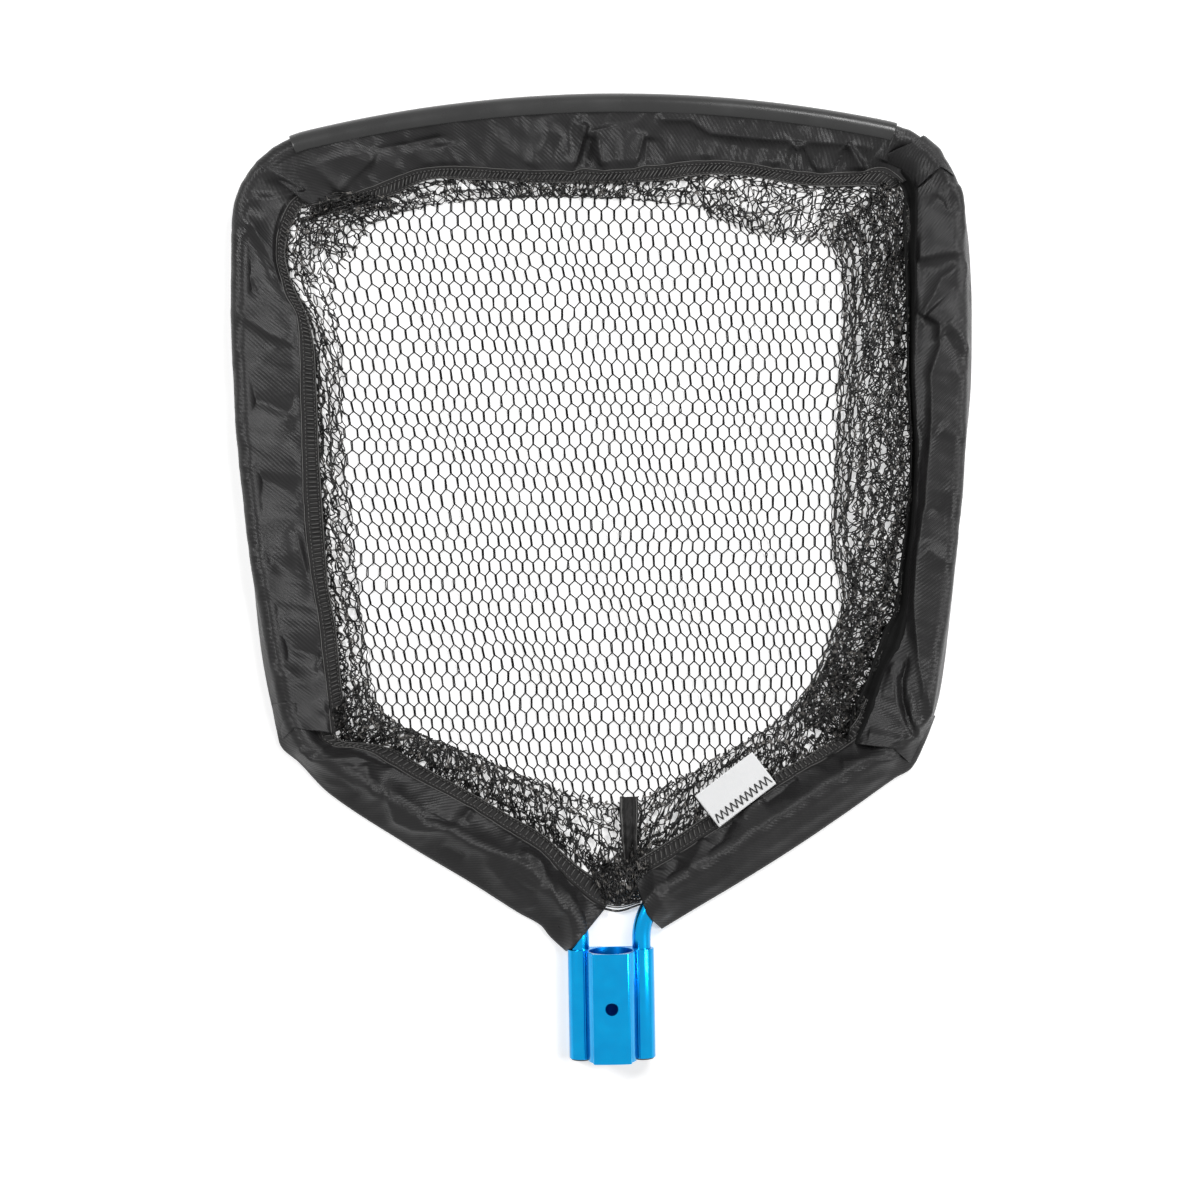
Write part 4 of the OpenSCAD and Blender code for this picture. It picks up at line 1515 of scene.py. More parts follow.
class Sleeve:
    """The five panels of the cloth sleeve and the edging of each."""

    def __init__(self, finishes: Finishes) -> None:
        """Sets the panels out.

        Args:
            finishes: The head's finishes.
        """
        self.finishes = finishes
        self.panels = {
            "front": self.front(),
            "left": self.left(),
            "right": self.right(),
            "lower_left": self.lower_left(),
            "lower_right": self.lower_right(),
        }

    @staticmethod
    def front() -> ClothPanel:
        """Cuts out the panel along the front bar, held inside the guard.

        Returns:
            The panel.
        """
        folds = [
            Fold([(-196, 574), (-166, 583), (-127, 589), (-96, 592)], 2.4, 5, 14),
            Fold([(-150, 586), (-120, 591), (-92, 596)], -3.5, 2.5, 4),
            Fold([(-170, 560), (-150, 578), (-138, 590)], 2.2, 9, 2.5, 0.1),
            Fold([(-97, 576), (-99, 592)], 2.6, 8, 8, 0.1, 0.2),
            Fold([(-70, 574), (-62, 600)], 1.4, 6, 6, 0.1, 0.3),
            Fold([(-40, 573), (-24, 602)], 1.6, 12, 7, 0.1, 0.2),
            Fold([(-16, 572), (-6, 603)], 4.2, 5, 1.6, 0, 0.1),
            Fold([(-9, 572), (-4, 596)], -3.2, 3, 4, 0, 0.2),
            Fold([(4, 573), (0, 600)], 3.6, 3, 12, 0, 0.1),
            Fold([(24, 573), (31, 597)], 2.8, 8, 1.5, 0, 0.15),
            Fold([(31, 574), (34, 594)], -2.6, 2, 5, 0, 0.2),
            Fold([(37, 604), (61, 603), (73, 595), (105, 591), (162, 586), (181, 583)], 2.8, 5, 3, 0.05, 0.1),
            Fold([(45, 596), (70, 590), (105, 585), (150, 580)], -1.2, 6, 7),
            Fold([(70, 576), (78, 592)], 1.8, 8, 4, 0, 0.3),
            Fold([(112, 571), (128, 588)], 2.6, 5, 3, 0, 0.1),
            Fold([(129, 570), (130, 588)], 2.4, 2.5, 3, 0, 0.1),
            Fold([(144, 569), (132, 588)], 2.6, 3, 5, 0, 0.1),
            Fold([(175, 568), (168, 578), (162, 587)], 3.8, 5, 1.6, 0, 0.05),
            Fold([(186, 574), (192, 592)], 2.5, 3, 3, 0.1, 0.1),
        ]
        return ClothPanel(
            "front_panel", "sleeve_front",
            outer=[(-219, 579), (-204, 590), (-150, 607), (-75, 619), (0, 622), (75, 619), (150, 608),
                   (194, 597), (210, 588), (222, 575)],
            stitch=[(-186, 553), (-170, 557), (-145, 565), (-120, 574), (-100, 577), (-56, 574), (-10, 573),
                    (35, 574.5), (68, 578), (103, 574.5), (140, 568.5), (168, 569), (186, 571), (198, 562)],
            tube=((-214, 574), (214, 569)), folds=folds, seed=11, hold=Hold.HUGGING, sag=0.4,
            gather=0.6, gather_pitch=11, drape=1.25, drape_pitch=44)

    @staticmethod
    def corner() -> ClothPanel:
        """Cuts out the smooth patch over the joint of the front and the right panel.

        Returns:
            The patch.
        """
        folds = [
            Fold([(186, 577), (196, 583), (209, 589)], 1.0, 1.5, 6, 0.1, 0),
            Fold([(206, 557), (214, 564), (230, 562.5)], 1.3, 5, 1.2, 0, 0),
        ]
        return ClothPanel(
            "corner_patch", "sleeve_right",
            outer=[(209.5, 589.5), (217, 581), (224, 572), (231, 562.5)],
            stitch=[(181, 576.5), (191, 572.5), (198, 569), (202.5, 565), (205.5, 557)],
            tube=((203.5, 584), (214.5, 565.5)), folds=folds, seed=29, sag=-1.0, gather=0.0, wrap=1.3,
            unrest=0.2, drape=0.25, step=0.9, seam_h=6.5, edge_h=4.5)

    @staticmethod
    def left() -> ClothPanel:
        """Cuts out the left side panel.

        Returns:
            The panel.
        """
        folds = [
            Fold([(-229, 549), (-219, 529), (-206, 505), (-194, 488)], 4.6, 12, 3.0, 0.15, 0.3),
            Fold([(-227, 556), (-211, 558), (-188, 563)], 3.0, 2.4, 9, 0.25, 0.1),
            Fold([(-214, 577), (-203, 571), (-186, 560)], 1.8, 3, 6, 0.2, 0.1),
            Fold([(-229, 520), (-222, 500), (-212, 484)], -3.4, 3, 5),
            Fold([(-226, 512), (-219, 496), (-213, 484)], 2.6, 2.4, 3.4),
            Fold([(-236, 486), (-214, 470), (-192, 461)], 2.4, 10, 3),
            Fold([(-233, 431), (-214, 425), (-196, 416)], -2.8, 7, 5, 0.2, 0.2),
            Fold([(-228, 380), (-208, 371), (-190, 362)], -3.2, 6, 7, 0.15, 0.15),
            Fold([(-201, 350), (-197, 330), (-191, 308)], 3.0, 4, 4),
            Fold([(-222, 330), (-204, 316), (-186, 306)], -1.6, 8, 8),
            Fold([(-216, 269), (-200, 266), (-183, 260)], -3.2, 5, 7, 0.15, 0.1),
            Fold([(-209, 258), (-198, 246), (-184, 236)], 1.8, 8, 5),
        ]
        return ClothPanel(
            "left_panel", "sleeve_left",
            outer=[(-218.5, 580), (-231, 556), (-237, 505), (-238.5, 460), (-236, 410), (-230, 348),
                   (-224, 274), (-219, 240), (-211.5, 207)],
            stitch=[(-185, 562), (-194, 560), (-203, 549), (-208, 534), (-209, 519), (-204, 499),
                    (-195.5, 481), (-194, 442), (-193, 360), (-190, 320), (-184, 279), (-178, 211.5)],
            tube=((-213, 576), (-206, 213)), folds=folds, seed=23, gather=0.5, drape=1.1, drape_pitch=46,
            over=(1.0, 1.3))

    @staticmethod
    def right() -> ClothPanel:
        """Cuts out the right side panel, whose inner edge stands over a deep hollow.

        Returns:
            The panel.
        """
        folds = [
            Fold([(232, 560), (236, 540), (234, 520)], 2.0, 5, 8, 0.1),
            Fold([(214, 552), (224, 544), (232, 546)], -2.6, 4, 5),
            Fold([(204, 512), (222, 513.5), (238, 514)], 3.6, 15, 2.8, 0, 0.3),
            Fold([(206, 505), (220, 505), (236, 503)], -1.2, 5, 8, 0.05, 0.1),
            Fold([(238, 509), (221, 498), (215.5, 486), (208.5, 474)], 3.0, 9, 4, 0.1, 0.02),
            Fold([(212, 477), (219.5, 469.5), (219.5, 455), (213.5, 436), (214, 424), (213.5, 405),
                  (209, 352), (204, 326), (201, 290), (202, 252), (206, 228), (209, 208)],
                 4.0, 12, 4, 0.01, 0.02),
            Fold([(207, 530), (206, 500), (205, 470), (203, 440), (204, 405)], 1.8, 2, 2.5, 0.1, 0.1),
            Fold([(222, 462), (231, 446), (237, 436)], -2.6, 3, 6, 0.05, 0.3),
            Fold([(224, 470), (232, 458), (240, 444)], 1.8, 4, 3, 0.05, 0.3),
            Fold([(216, 402), (226, 396), (237, 394)], 1.8, 9, 5),
            Fold([(211, 352), (222, 340), (232, 332)], -2.4, 7, 7),
            Fold([(205, 328), (215, 318), (229, 312)], 2.2, 6, 4),
            Fold([(195, 258), (190, 240), (190, 226), (193.5, 212), (198, 202)], -4.4, 2.2, 1.5, 0.2, 0.1),
            Fold([(183, 252), (187, 244), (187, 229), (190.5, 214), (196, 203)], 3.0, 1.6, 7, 0.1, 0.05),
            Fold([(196, 232), (196, 220), (199, 208), (203, 200)], 2.4, 2, 3, 0.2, 0.1),
            Fold([(168, 206), (180, 204), (190, 201)], 1.6, 3, 4, 0.1, 0.1),
        ]
        return ClothPanel(
            "right_panel", "sleeve_right",
            outer=[(218, 580), (226, 570), (234, 556), (239, 531), (241, 496), (241, 470), (239.5, 427),
                   (235.5, 389), (232, 352), (224, 284), (216.5, 233), (209, 208), (197.5, 184)],
            stitch=[(197, 570), (205, 560), (206.5, 545), (206, 528), (205, 500), (203.5, 470), (202.5, 440),
                    (203.5, 405), (203.5, 375), (201, 340), (197.5, 310), (195, 285), (189, 262),
                    (182, 249), (176, 236), (170.5, 218), (161.5, 199)],
            tube=((211, 577), (189, 189)), folds=folds, seed=37, sag=-0.6, gather=0.25, drape=0.5,
            drape_pitch=46, over=(0.0, 1.4), seam_h=6.0)

    @staticmethod
    def lower_left() -> ClothPanel:
        """Cuts out the lower left panel, which ends over the left leg.

        Returns:
            The panel.
        """
        folds = [
            Fold([(-199, 205), (-189, 195), (-164, 196), (-144, 190)], 3.2, 1.8, 9, 0.1, 0.2),
            Fold([(-164, 192), (-168, 182), (-160, 168)], -3.2, 4, 5, 0.1, 0.2),
            Fold([(-158, 192), (-152, 176), (-148, 168)], 2.4, 5, 4, 0.1, 0.2),
            Fold([(-141, 186), (-140, 168), (-136, 156), (-125, 150), (-103, 149), (-89, 140), (-77, 134),
                  (-54, 127), (-44, 112)], 3.8, 8, 3.2, 0.15, 0.1),
            Fold([(-123, 160), (-110, 157), (-97, 152)], -3.0, 3.5, 3),
            Fold([(-110, 139), (-101, 134), (-91, 129)], -3.2, 3, 5),
            Fold([(-97, 152), (-90, 160), (-84, 164)], 2.6, 3, 3),
            Fold([(-64, 124), (-56, 114), (-45, 106)], -3.6, 4, 5),
            Fold([(-83, 131), (-70, 119), (-57, 104)], 2.6, 5, 6),
            Fold([(-60, 133), (-46, 126), (-36, 108), (-28, 92)], 3.2, 3, 7, 0.1, 0.1),
            Fold([(-66, 98), (-55, 96), (-46, 101)], 2.2, 3, 2.5),
            Fold([(-26, 104), (-18, 92), (-16, 82)], -2.2, 4, 4, 0.1, 0),
        ]
        return ClothPanel(
            "lower_left_panel", "sleeve_lower_left",
            outer=[(-217, 231), (-214, 214), (-211, 203), (-200, 193), (-180, 172), (-133, 140), (-88, 112),
                   (-60, 93.5), (-45.5, 85), (-39, 77), (-29, 67.5)],
            stitch=[(-190, 230), (-188, 216), (-184, 207), (-175, 203), (-163, 202), (-150, 198), (-140, 191),
                    (-125, 182), (-92, 164), (-58, 142), (-43, 132), (-28, 115), (-13, 101), (-3.5, 94.5)],
            tube=((-210, 232), (-19.8, 76.7)), folds=folds, seed=41, gather=0.8, drape=2.2,
            drape_pitch=58, sag=0.5)

    @staticmethod
    def lower_right() -> ClothPanel:
        """Cuts out the smooth lower right panel, which ends over the right leg.

        Returns:
            The panel.
        """
        folds = [
            Fold([(185, 178), (150, 162), (110, 138), (70, 112), (45, 98)], 1.3, 7, 9, 0.1, 0.1),
            Fold([(170, 190), (140, 176), (108, 154), (84, 138)], 1.7, 7, 8),
            Fold([(160, 198), (176, 199), (190, 197), (197, 189)], -4.5, 6, 3, 0.1, 0.1),
            Fold([(150, 187), (170, 190), (188, 188)], 2.0, 3, 6, 0.1, 0.2),
            Fold([(120, 180), (112, 170), (98, 160)], -2.6, 5, 4, 0.05, 0.2),
            Fold([(100, 165), (92, 158), (86, 150)], 2.0, 4, 3, 0.05, 0.3),
            Fold([(80, 152), (70, 136), (64, 126)], -2.4, 5, 4, 0.05, 0.3),
            Fold([(62, 140), (56, 128), (50, 118)], 1.8, 5, 5, 0.05, 0.3),
            Fold([(44, 128), (40, 114), (42, 100)], -2.6, 5, 4, 0.05, 0.2),
            Fold([(28, 120), (30, 106), (36, 92)], 2.0, 5, 5, 0.05, 0),
        ]
        return ClothPanel(
            "lower_right_panel", "sleeve_lower_right",
            outer=[(213, 216), (206, 199), (197, 182.5), (186, 176), (153, 153.5), (120, 132), (87, 112),
                   (53, 92.5), (33.3, 81.0)],
            stitch=[(176, 224), (170, 211), (160, 202), (150, 195), (141, 190), (129, 184), (111, 174),
                    (71, 146.5), (54, 135.5), (38, 126), (16, 113.5)],
            tube=((201, 214), (23.6, 92.6)), folds=folds, seed=53, gather=0.6, drape=1.1, drape_pitch=62,
            sag=0.3)

    def finish(self) -> None:
        """Builds and dresses the panels, the corner patch and the hems."""
        for panel in (*self.panels.values(), self.corner()):
            panel.finish(self.finishes.cloth)
        for hem in self.hems():
            hem.finish(self.finishes)

    def hems(self) -> list[Hem]:
        """Sets out the edging of each panel, by its inner line.

        Returns:
            The hems.
        """
        p = self.panels
        return [
            Hem("hem_front", "binding_front", p["front"],
                [(-186, 542), (-180, 546), (-157, 552), (-133, 559), (-108, 569), (-83, 568.5), (-50, 566.5),
                 (0, 564.5), (41, 565.6), (62, 568.5), (82, 569), (105, 566.5), (127, 562), (146, 560),
                 (172, 560), (190, 558)]),
            Hem("hem_left", "binding_left", p["left"],
                [(-180, 553), (-190, 554), (-200, 538), (-203, 521), (-198, 501.5), (-190.6, 485),
                 (-185.8, 466), (-184.3, 442), (-183.4, 397), (-181.6, 359), (-179, 310), (-174.4, 279),
                 (-171, 240), (-167.3, 216)]),
            # the right edging is unstitched and so takes the painted shade copy of the edging cloth
            Hem("hem_right", "binding_right", p["right"],
                [(193, 564), (198, 553), (197, 534), (198, 509), (198.5, 485), (198.5, 460), (198.5, 435),
                 (199.5, 400), (199, 375), (195.5, 340), (191, 310), (187, 284), (181, 274), (174, 256),
                 (167.5, 238), (159, 221), (155, 200)], stitched=False, hollow=3.4, lip=2.4, low_z=4.0),
            Hem("hem_lower_left", "binding_lower_left", p["lower_left"],
                [(-181, 230), (-179, 217), (-176, 210), (-170, 206), (-160, 205), (-147, 203), (-135, 199),
                 (-126, 193), (-109, 183), (-86, 170), (-63.5, 156), (-44, 144.5), (-23.4, 125.5),
                 (-7, 113.6), (4.4, 107.6)], bar_pitch=4.2),
            Hem("hem_lower_right", "binding_lower_right", p["lower_right"],
                [(168, 228), (162, 215), (154, 206), (146, 201), (138, 197), (131, 192), (121, 187),
                 (109, 180.6), (57.7, 150), (46, 142.3), (29.5, 132.6), (16, 125)], bar_pitch=4.0),
        ]


# -------- net bag


class Lay(Enum):
    """Which way the net's double strands run in a wall."""

    ALONG = "along the hem"
    ACROSS = "across the hem"


@dataclass(frozen=True)
class Knit:
    """Six-sided net: each strand is two yarns, and every yarn steps from strand to strand."""

    pitch: float = 7.3
    row: float = 9.0
    strand: float = 5.1
    yarn_r: float = 0.43
    split: float = 0.30

    def yarns(self, columns: int, rows: int) -> list[Array]:
        """Lays out all yarns of a flat piece, in net coordinates.

        Args:
            columns: Columns of gaps.
            rows: Rows of gaps.

        Returns:
            Two yarns for each column, as points across and along the strands.
        """
        r = np.arange(rows)
        odd = (r % 2).astype(float)
        v = np.stack([r * self.row, r * self.row + self.strand], axis=1).reshape(-1)
        paths = []
        for column in range(columns):
            for hand in (-1, 1):
                u = (column + 0.5 * hand * odd) * self.pitch
                lean = self.split * (1 - 2 * odd) * -hand
                u = np.repeat(u + lean, 2)
                paths.append(np.stack([u, v], axis=1))
        return paths


@dataclass
class NetWall:
    """A gathered wall of the bag: the net lies in loose layers between hem and base."""

    name: str
    node: str
    hem: Line
    base: Line
    flat: float
    lay: Lay
    seed: int
    folds: float = 3.5
    high: float = 6.5
    under: float = 5.0
    beyond: float = 3.0
    crowd: float = 1.5
    wander: float = 2.6
    full: float = 1.3
    slack: float = 0.5
    yarn_r: float = 0.38
    sides: int = 4
    most_faces: int = 90000

    SLICES = 300

    def across(self, v: Array, reach: Array, shake: Array) -> tuple[Array, Array]:
        """Where the net lies across the wall: it goes to and fro, closest together at the hem.

        Args:
            v: Distance over the flat net, from the hem.
            reach: Width of the wall at each place.
            shake: Unevenness at each place, about -2 to 2.

        Returns:
            Distance from the hem and height at each place.
        """
        f = np.clip(v / self.flat, 0, 1)
        pace = (reach + self.under + self.beyond) / self.flat
        turn = f * self.folds + 0.12 * shake
        swing = 0.5 * self.flat / self.folds * np.clip(0.95 - pace, 0.2, 1) * np.minimum(1, 2.5 * (1 - f))
        to_fro = 1 - np.abs(2 * (turn - np.floor(turn)) - 1)
        place = (reach + self.under + self.beyond) * f**self.crowd - self.under + swing * to_fro
        share = place / reach
        tall = ease(share / 0.3) * (1 - 0.8 * ease((share - 0.55) / 0.45))
        return place, 0.4 + self.high * tall * (0.35 + 0.65 * np.sin(math.pi * turn) ** 2)

    def paths(self, knit: Knit) -> list[Array]:
        """Lays the wall's yarns out in space.

        Args:
            knit: The net's pattern.

        Returns:
            One path for each yarn.
        """
        hem, base = smooth(self.hem, self.SLICES), smooth(self.base, self.SLICES)
        last = self.SLICES - 1
        length = run_length(hem)[-1] * self.full
        ripples = [Ripple(self.seed + i, 34, 8) for i in range(4)]
        draw = np.random.default_rng(self.seed + 20)
        if self.lay is Lay.ALONG:
            yarns = knit.yarns(int(self.flat / knit.pitch), int(length / knit.row) + 1)
        else:
            yarns = knit.yarns(int(length / knit.pitch), int(self.flat / knit.row) + 1)
        result = []
        for yarn in yarns:
            fine = self.refine(yarn)
            u, v = (fine[:, 1], fine[:, 0]) if self.lay is Lay.ALONG else (fine[:, 0], fine[:, 1])
            flat = np.stack([u, v * 1.3], axis=1)
            s = np.clip((u + self.wander * ripples[1].at(flat)) / length, 0, 1) * last
            i = np.clip(s.astype(int), 0, last - 1)
            t = (s - i)[:, None]
            a = hem[i] * (1 - t) + hem[i + 1] * t
            b = base[i] * (1 - t) + base[i + 1] * t
            reach = np.linalg.norm(b - a, axis=1)
            place, height = self.across(v + 2 * ripples[0].at(flat), reach, ripples[2].at(flat))
            height = height * (1 + 0.25 * ripples[3].at(flat))
            path = np.column_stack([a + (b - a) * (place / reach)[:, None], height])
            path += draw.normal(0, self.slack, path.shape) * np.clip(height / 2, 0.45, 1)[:, None]
            path[:, 2] = PLAN.floor_z + 0.5 + np.maximum(path[:, 2], 0.1)
            result.append(self.round_off(path))
        return result

    @staticmethod
    def round_off(path: Array) -> Array:
        """Cuts a path's corners, so that slack yarn runs in loops.

        Args:
            path: The path's points.

        Returns:
            Its points with every corner cut.
        """
        ahead = 0.75 * path[:-1] + 0.25 * path[1:]
        behind = 0.25 * path[:-1] + 0.75 * path[1:]
        middle = np.empty((2 * len(ahead), 3))
        middle[0::2], middle[1::2] = ahead, behind
        return np.vstack([path[:1], middle, path[-1:]])

    @staticmethod
    def refine(yarn: Array) -> Array:
        """Adds a point in the middle of each stretch of a yarn.

        Args:
            yarn: The yarn's points.

        Returns:
            Its points and those between them.
        """
        middle = (yarn[1:] + yarn[:-1]) / 2
        both = np.empty((len(yarn) + len(middle), 2))
        both[0::2], both[1::2] = yarn, middle
        return both

    def finish(self, knit: Knit, material: Material, more: Iterable[Array] = ()) -> None:
        """Builds and dresses the wall, as several pieces by layer where it has very much yarn.

        Args:
            knit: The net's pattern.
            material: The yarn's finish.
            more: Paths of further yarns that belong to the wall.
        """
        paths = [*self.paths(knit), *more]
        faces = self.sides * sum(len(path) for path in paths)
        layers = np.array_split(np.arange(len(paths)), math.ceil(faces / self.most_faces))
        for number, layer in enumerate(layers, 1):
            name = self.name if number == 1 else f"{self.name}_{number}"
            obj = tubes_object(name, [paths[i] for i in layer], self.yarn_r, self.sides)
            dress(obj, material, "net_yarn", self.node)


@dataclass
class NetBag:
    """The knitted bag: a flat base that lies on the ground and five gathered walls."""

    finishes: Finishes
    knit: Knit = field(default_factory=Knit)
    outline: Line = (
        (-172, 533), (-140, 546), (-76, 556), (0, 558), (66, 548), (124, 526), (149, 522), (160, 500),
        (157, 453), (152, 376), (149, 331), (158, 292), (150, 270), (135, 234), (99, 206), (60, 184),
        (14, 160), (-24, 168), (-82, 192), (-133, 213), (-154, 239), (-160, 297), (-166, 375), (-170, 498),
        (-172, 533))
    middle: Point = (0.0, 370.0)
    columns: int = 56
    rows: int = 50
    middle_row: int = 24
    lean_left: float = 9.0
    lean_right: float = 2.0
    lean_span: Point = (-165.0, 150.0)
    row_tilt: float = 1.2
    margin: float = 1.05

    CORD_DROPS = (0.0, 1.1, 2.9, 3.6)

    def base_paths(self) -> list[Array]:
        """Lays out the yarns of the base that lie within its outline.

        Returns:
            One path for each stretch of yarn.
        """
        middle = np.array(self.middle)
        outline = middle + (smooth(self.outline, 400) - middle) * self.margin
        left, right = self.lean_span
        pull, lift = Ripple(71, 110, 34), Ripple(72, 60, 15)
        draw = np.random.default_rng(73)
        result = []
        for yarn in self.knit.yarns(self.columns, self.rows):
            u = yarn[:, 0] - self.columns / 2 * self.knit.pitch
            v = yarn[:, 1] - self.middle_row * self.knit.row
            share = np.clip((u - left) / (right - left), -0.2, 1.2)
            lean = np.radians(self.lean_left + (self.lean_right - self.lean_left) * share)
            x = u - v * np.tan(lean)
            y = self.middle[1] + v + u * math.tan(math.radians(self.row_tilt))
            plan = np.stack([x, y], axis=1)
            plan = plan + 0.9 * np.stack([pull.at(plan), pull.at(plan + 300)], axis=1)
            plan = plan + draw.normal(0, 0.13, plan.shape)
            z = PLAN.floor_z + 0.55 + 0.5 * np.clip(lift.at(plan) + 0.4, 0, 3)
            within = inside(plan, outline)
            path = np.column_stack([plan, z])
            edges = np.flatnonzero(np.diff(np.concatenate([[0], within.astype(int), [0]])))
            for a, b in zip(edges[::2], edges[1::2]):
                if b - a >= 3:
                    result.append(path[a:b])
        return result

    def walls(self) -> list[NetWall]:
        """Sets out the five walls, with the way each is crumpled.

        Returns:
            The walls.
        """
        return [
            NetWall("front_net", "net_wall_front",
                    hem=[(-196, 540), (-180, 548), (-157, 553), (-133, 560), (-108, 569), (-50, 567),
                         (0, 566), (41, 567), (82, 570), (120, 564), (160, 561), (198, 560)],
                    base=[(-166, 512), (-140, 544), (-76, 556), (0, 557), (66, 547), (110, 530), (150, 523),
                          (168, 510)],
                    flat=80, lay=Lay.ACROSS, seed=81, folds=3, high=5.5, full=1.45, beyond=1.5),
            NetWall("left_net", "net_wall_left",
                    hem=[(-166, 566), (-184, 562), (-198, 547), (-204, 521), (-199, 501), (-190, 485),
                         (-185, 466), (-184, 442), (-183, 397), (-181, 359), (-178, 310), (-174, 279),
                         (-169, 217), (-168, 202)],
                    base=[(-140, 553), (-152, 542), (-165, 522), (-168, 498), (-167, 459), (-165, 375),
                          (-158, 297), (-150, 236), (-134, 212)],
                    flat=84, lay=Lay.ALONG, seed=91, folds=3, high=6.0, full=1.45, crowd=2.0),
            NetWall("right_net", "net_wall_right",
                    hem=[(190, 566), (197, 546), (198, 509), (198, 460), (199, 420), (199, 390), (197, 352),
                         (192, 316), (187, 284), (175, 258), (164, 232), (157, 200)],
                    base=[(148, 530), (158, 505), (158, 470), (155, 430), (152, 376), (149, 331), (156, 292),
                          (148, 268), (136, 240), (118, 218)],
                    flat=265, lay=Lay.ALONG, seed=101, folds=7, high=9.0, full=1.35, wander=3.2, crowd=1.5,
                    under=6.0),
            NetWall("lower_left_net", "net_wall_lower_left",
                    hem=[(-182, 220), (-172, 206), (-150, 203), (-126, 193), (-86, 170), (-44, 144),
                         (-7, 114), (10, 104)],
                    base=[(-158, 246), (-150, 228), (-133, 213), (-82, 192), (-24, 168), (4, 162), (14, 160)],
                    flat=160, lay=Lay.ACROSS, seed=111, folds=5, high=6.0, full=1.6),
            NetWall("lower_right_net", "net_wall_lower_right",
                    hem=[(16, 108), (20, 126), (46, 142), (58, 150), (109, 181), (131, 192), (156, 200),
                         (176, 218)],
                    base=[(12, 161), (24, 166), (60, 184), (99, 206), (125, 224), (142, 246), (150, 266)],
                    flat=160, lay=Lay.ACROSS, seed=121, folds=5, high=4.2, full=1.7),
        ]

    def gathers(self) -> dict[str, list[NetWall]]:
        """Sets out the net that is gathered up or hangs loose beside a wall, by the wall's node.

        Returns:
            The far corners, the loose edge at the front's right end and the strip in the throat.
        """
        return {
            "net_wall_front": [
                NetWall("loose edge", "net_wall_front", hem=[(60, 566), (100, 562), (150, 558), (185, 556)],
                        base=[(72, 542), (108, 527), (150, 521), (172, 518)],
                        flat=52, lay=Lay.ACROSS, seed=131, folds=1, full=1.25, crowd=1.0, high=5.0,
                        beyond=1.0),
                NetWall("far right corner", "net_wall_front",
                        hem=[(150, 562), (176, 561), (190, 556), (198, 543), (199, 520), (199, 500)],
                        base=[(140, 537), (152, 530), (162, 522), (168, 512), (170, 498), (170, 480)],
                        flat=70, lay=Lay.ALONG, seed=161, folds=3.5, high=4.5, full=1.6)],
            "net_wall_left": [
                NetWall("far left corner", "net_wall_left",
                        hem=[(-203, 512), (-204, 535), (-197, 550), (-184, 560), (-164, 562), (-140, 560)],
                        base=[(-184, 500), (-180, 520), (-170, 533), (-158, 542), (-146, 548), (-130, 552)],
                        flat=80, lay=Lay.ALONG, seed=151, folds=3.5, high=5.0, full=1.7)],
            "net_wall_lower_left": [
                NetWall("throat", "net_wall_lower_left", hem=[(-12, 122), (8, 130), (28, 128)],
                        base=[(-4, 99), (7, 97), (25, 101)], flat=190, lay=Lay.ALONG, seed=141, folds=5,
                        high=4.5, wander=1.2, full=3.2, under=8, beyond=0.5, crowd=1.0)],
        }

    def throat_cords(self) -> list[Array]:
        """Lays out the cords that close the bag between the ends of the two lower sleeves.

        Returns:
            One path for each cord.
        """
        cords = []
        for k, drop in enumerate(self.CORD_DROPS):
            arc = smooth([(-5, 98.5 - drop), (6, 96.5 - drop), (20, 99.5 - drop * 0.6)], 24)
            height = PLAN.floor_z + 3.4 + 0.5 * math.sin(2.1 * k) + 1.0 * np.linspace(-1, 1, 24) ** 2
            cords.append(np.column_stack([arc, height]))
        return cords

    def finish(self) -> None:
        """Builds and dresses the base and the walls."""
        base = tubes_object("net_floor", self.base_paths(), self.knit.yarn_r, 6)
        dress(base, self.finishes.taut_yarn, "net_yarn", "net_base")
        gathers = self.gathers()
        for wall in self.walls():
            more = [path for part in gathers.get(wall.node, []) for path in part.paths(self.knit)]
            if wall.node == "net_wall_lower_left":
                more += self.throat_cords()
            wall.finish(self.knit, self.finishes.yarn, more)


# -------- tape and label


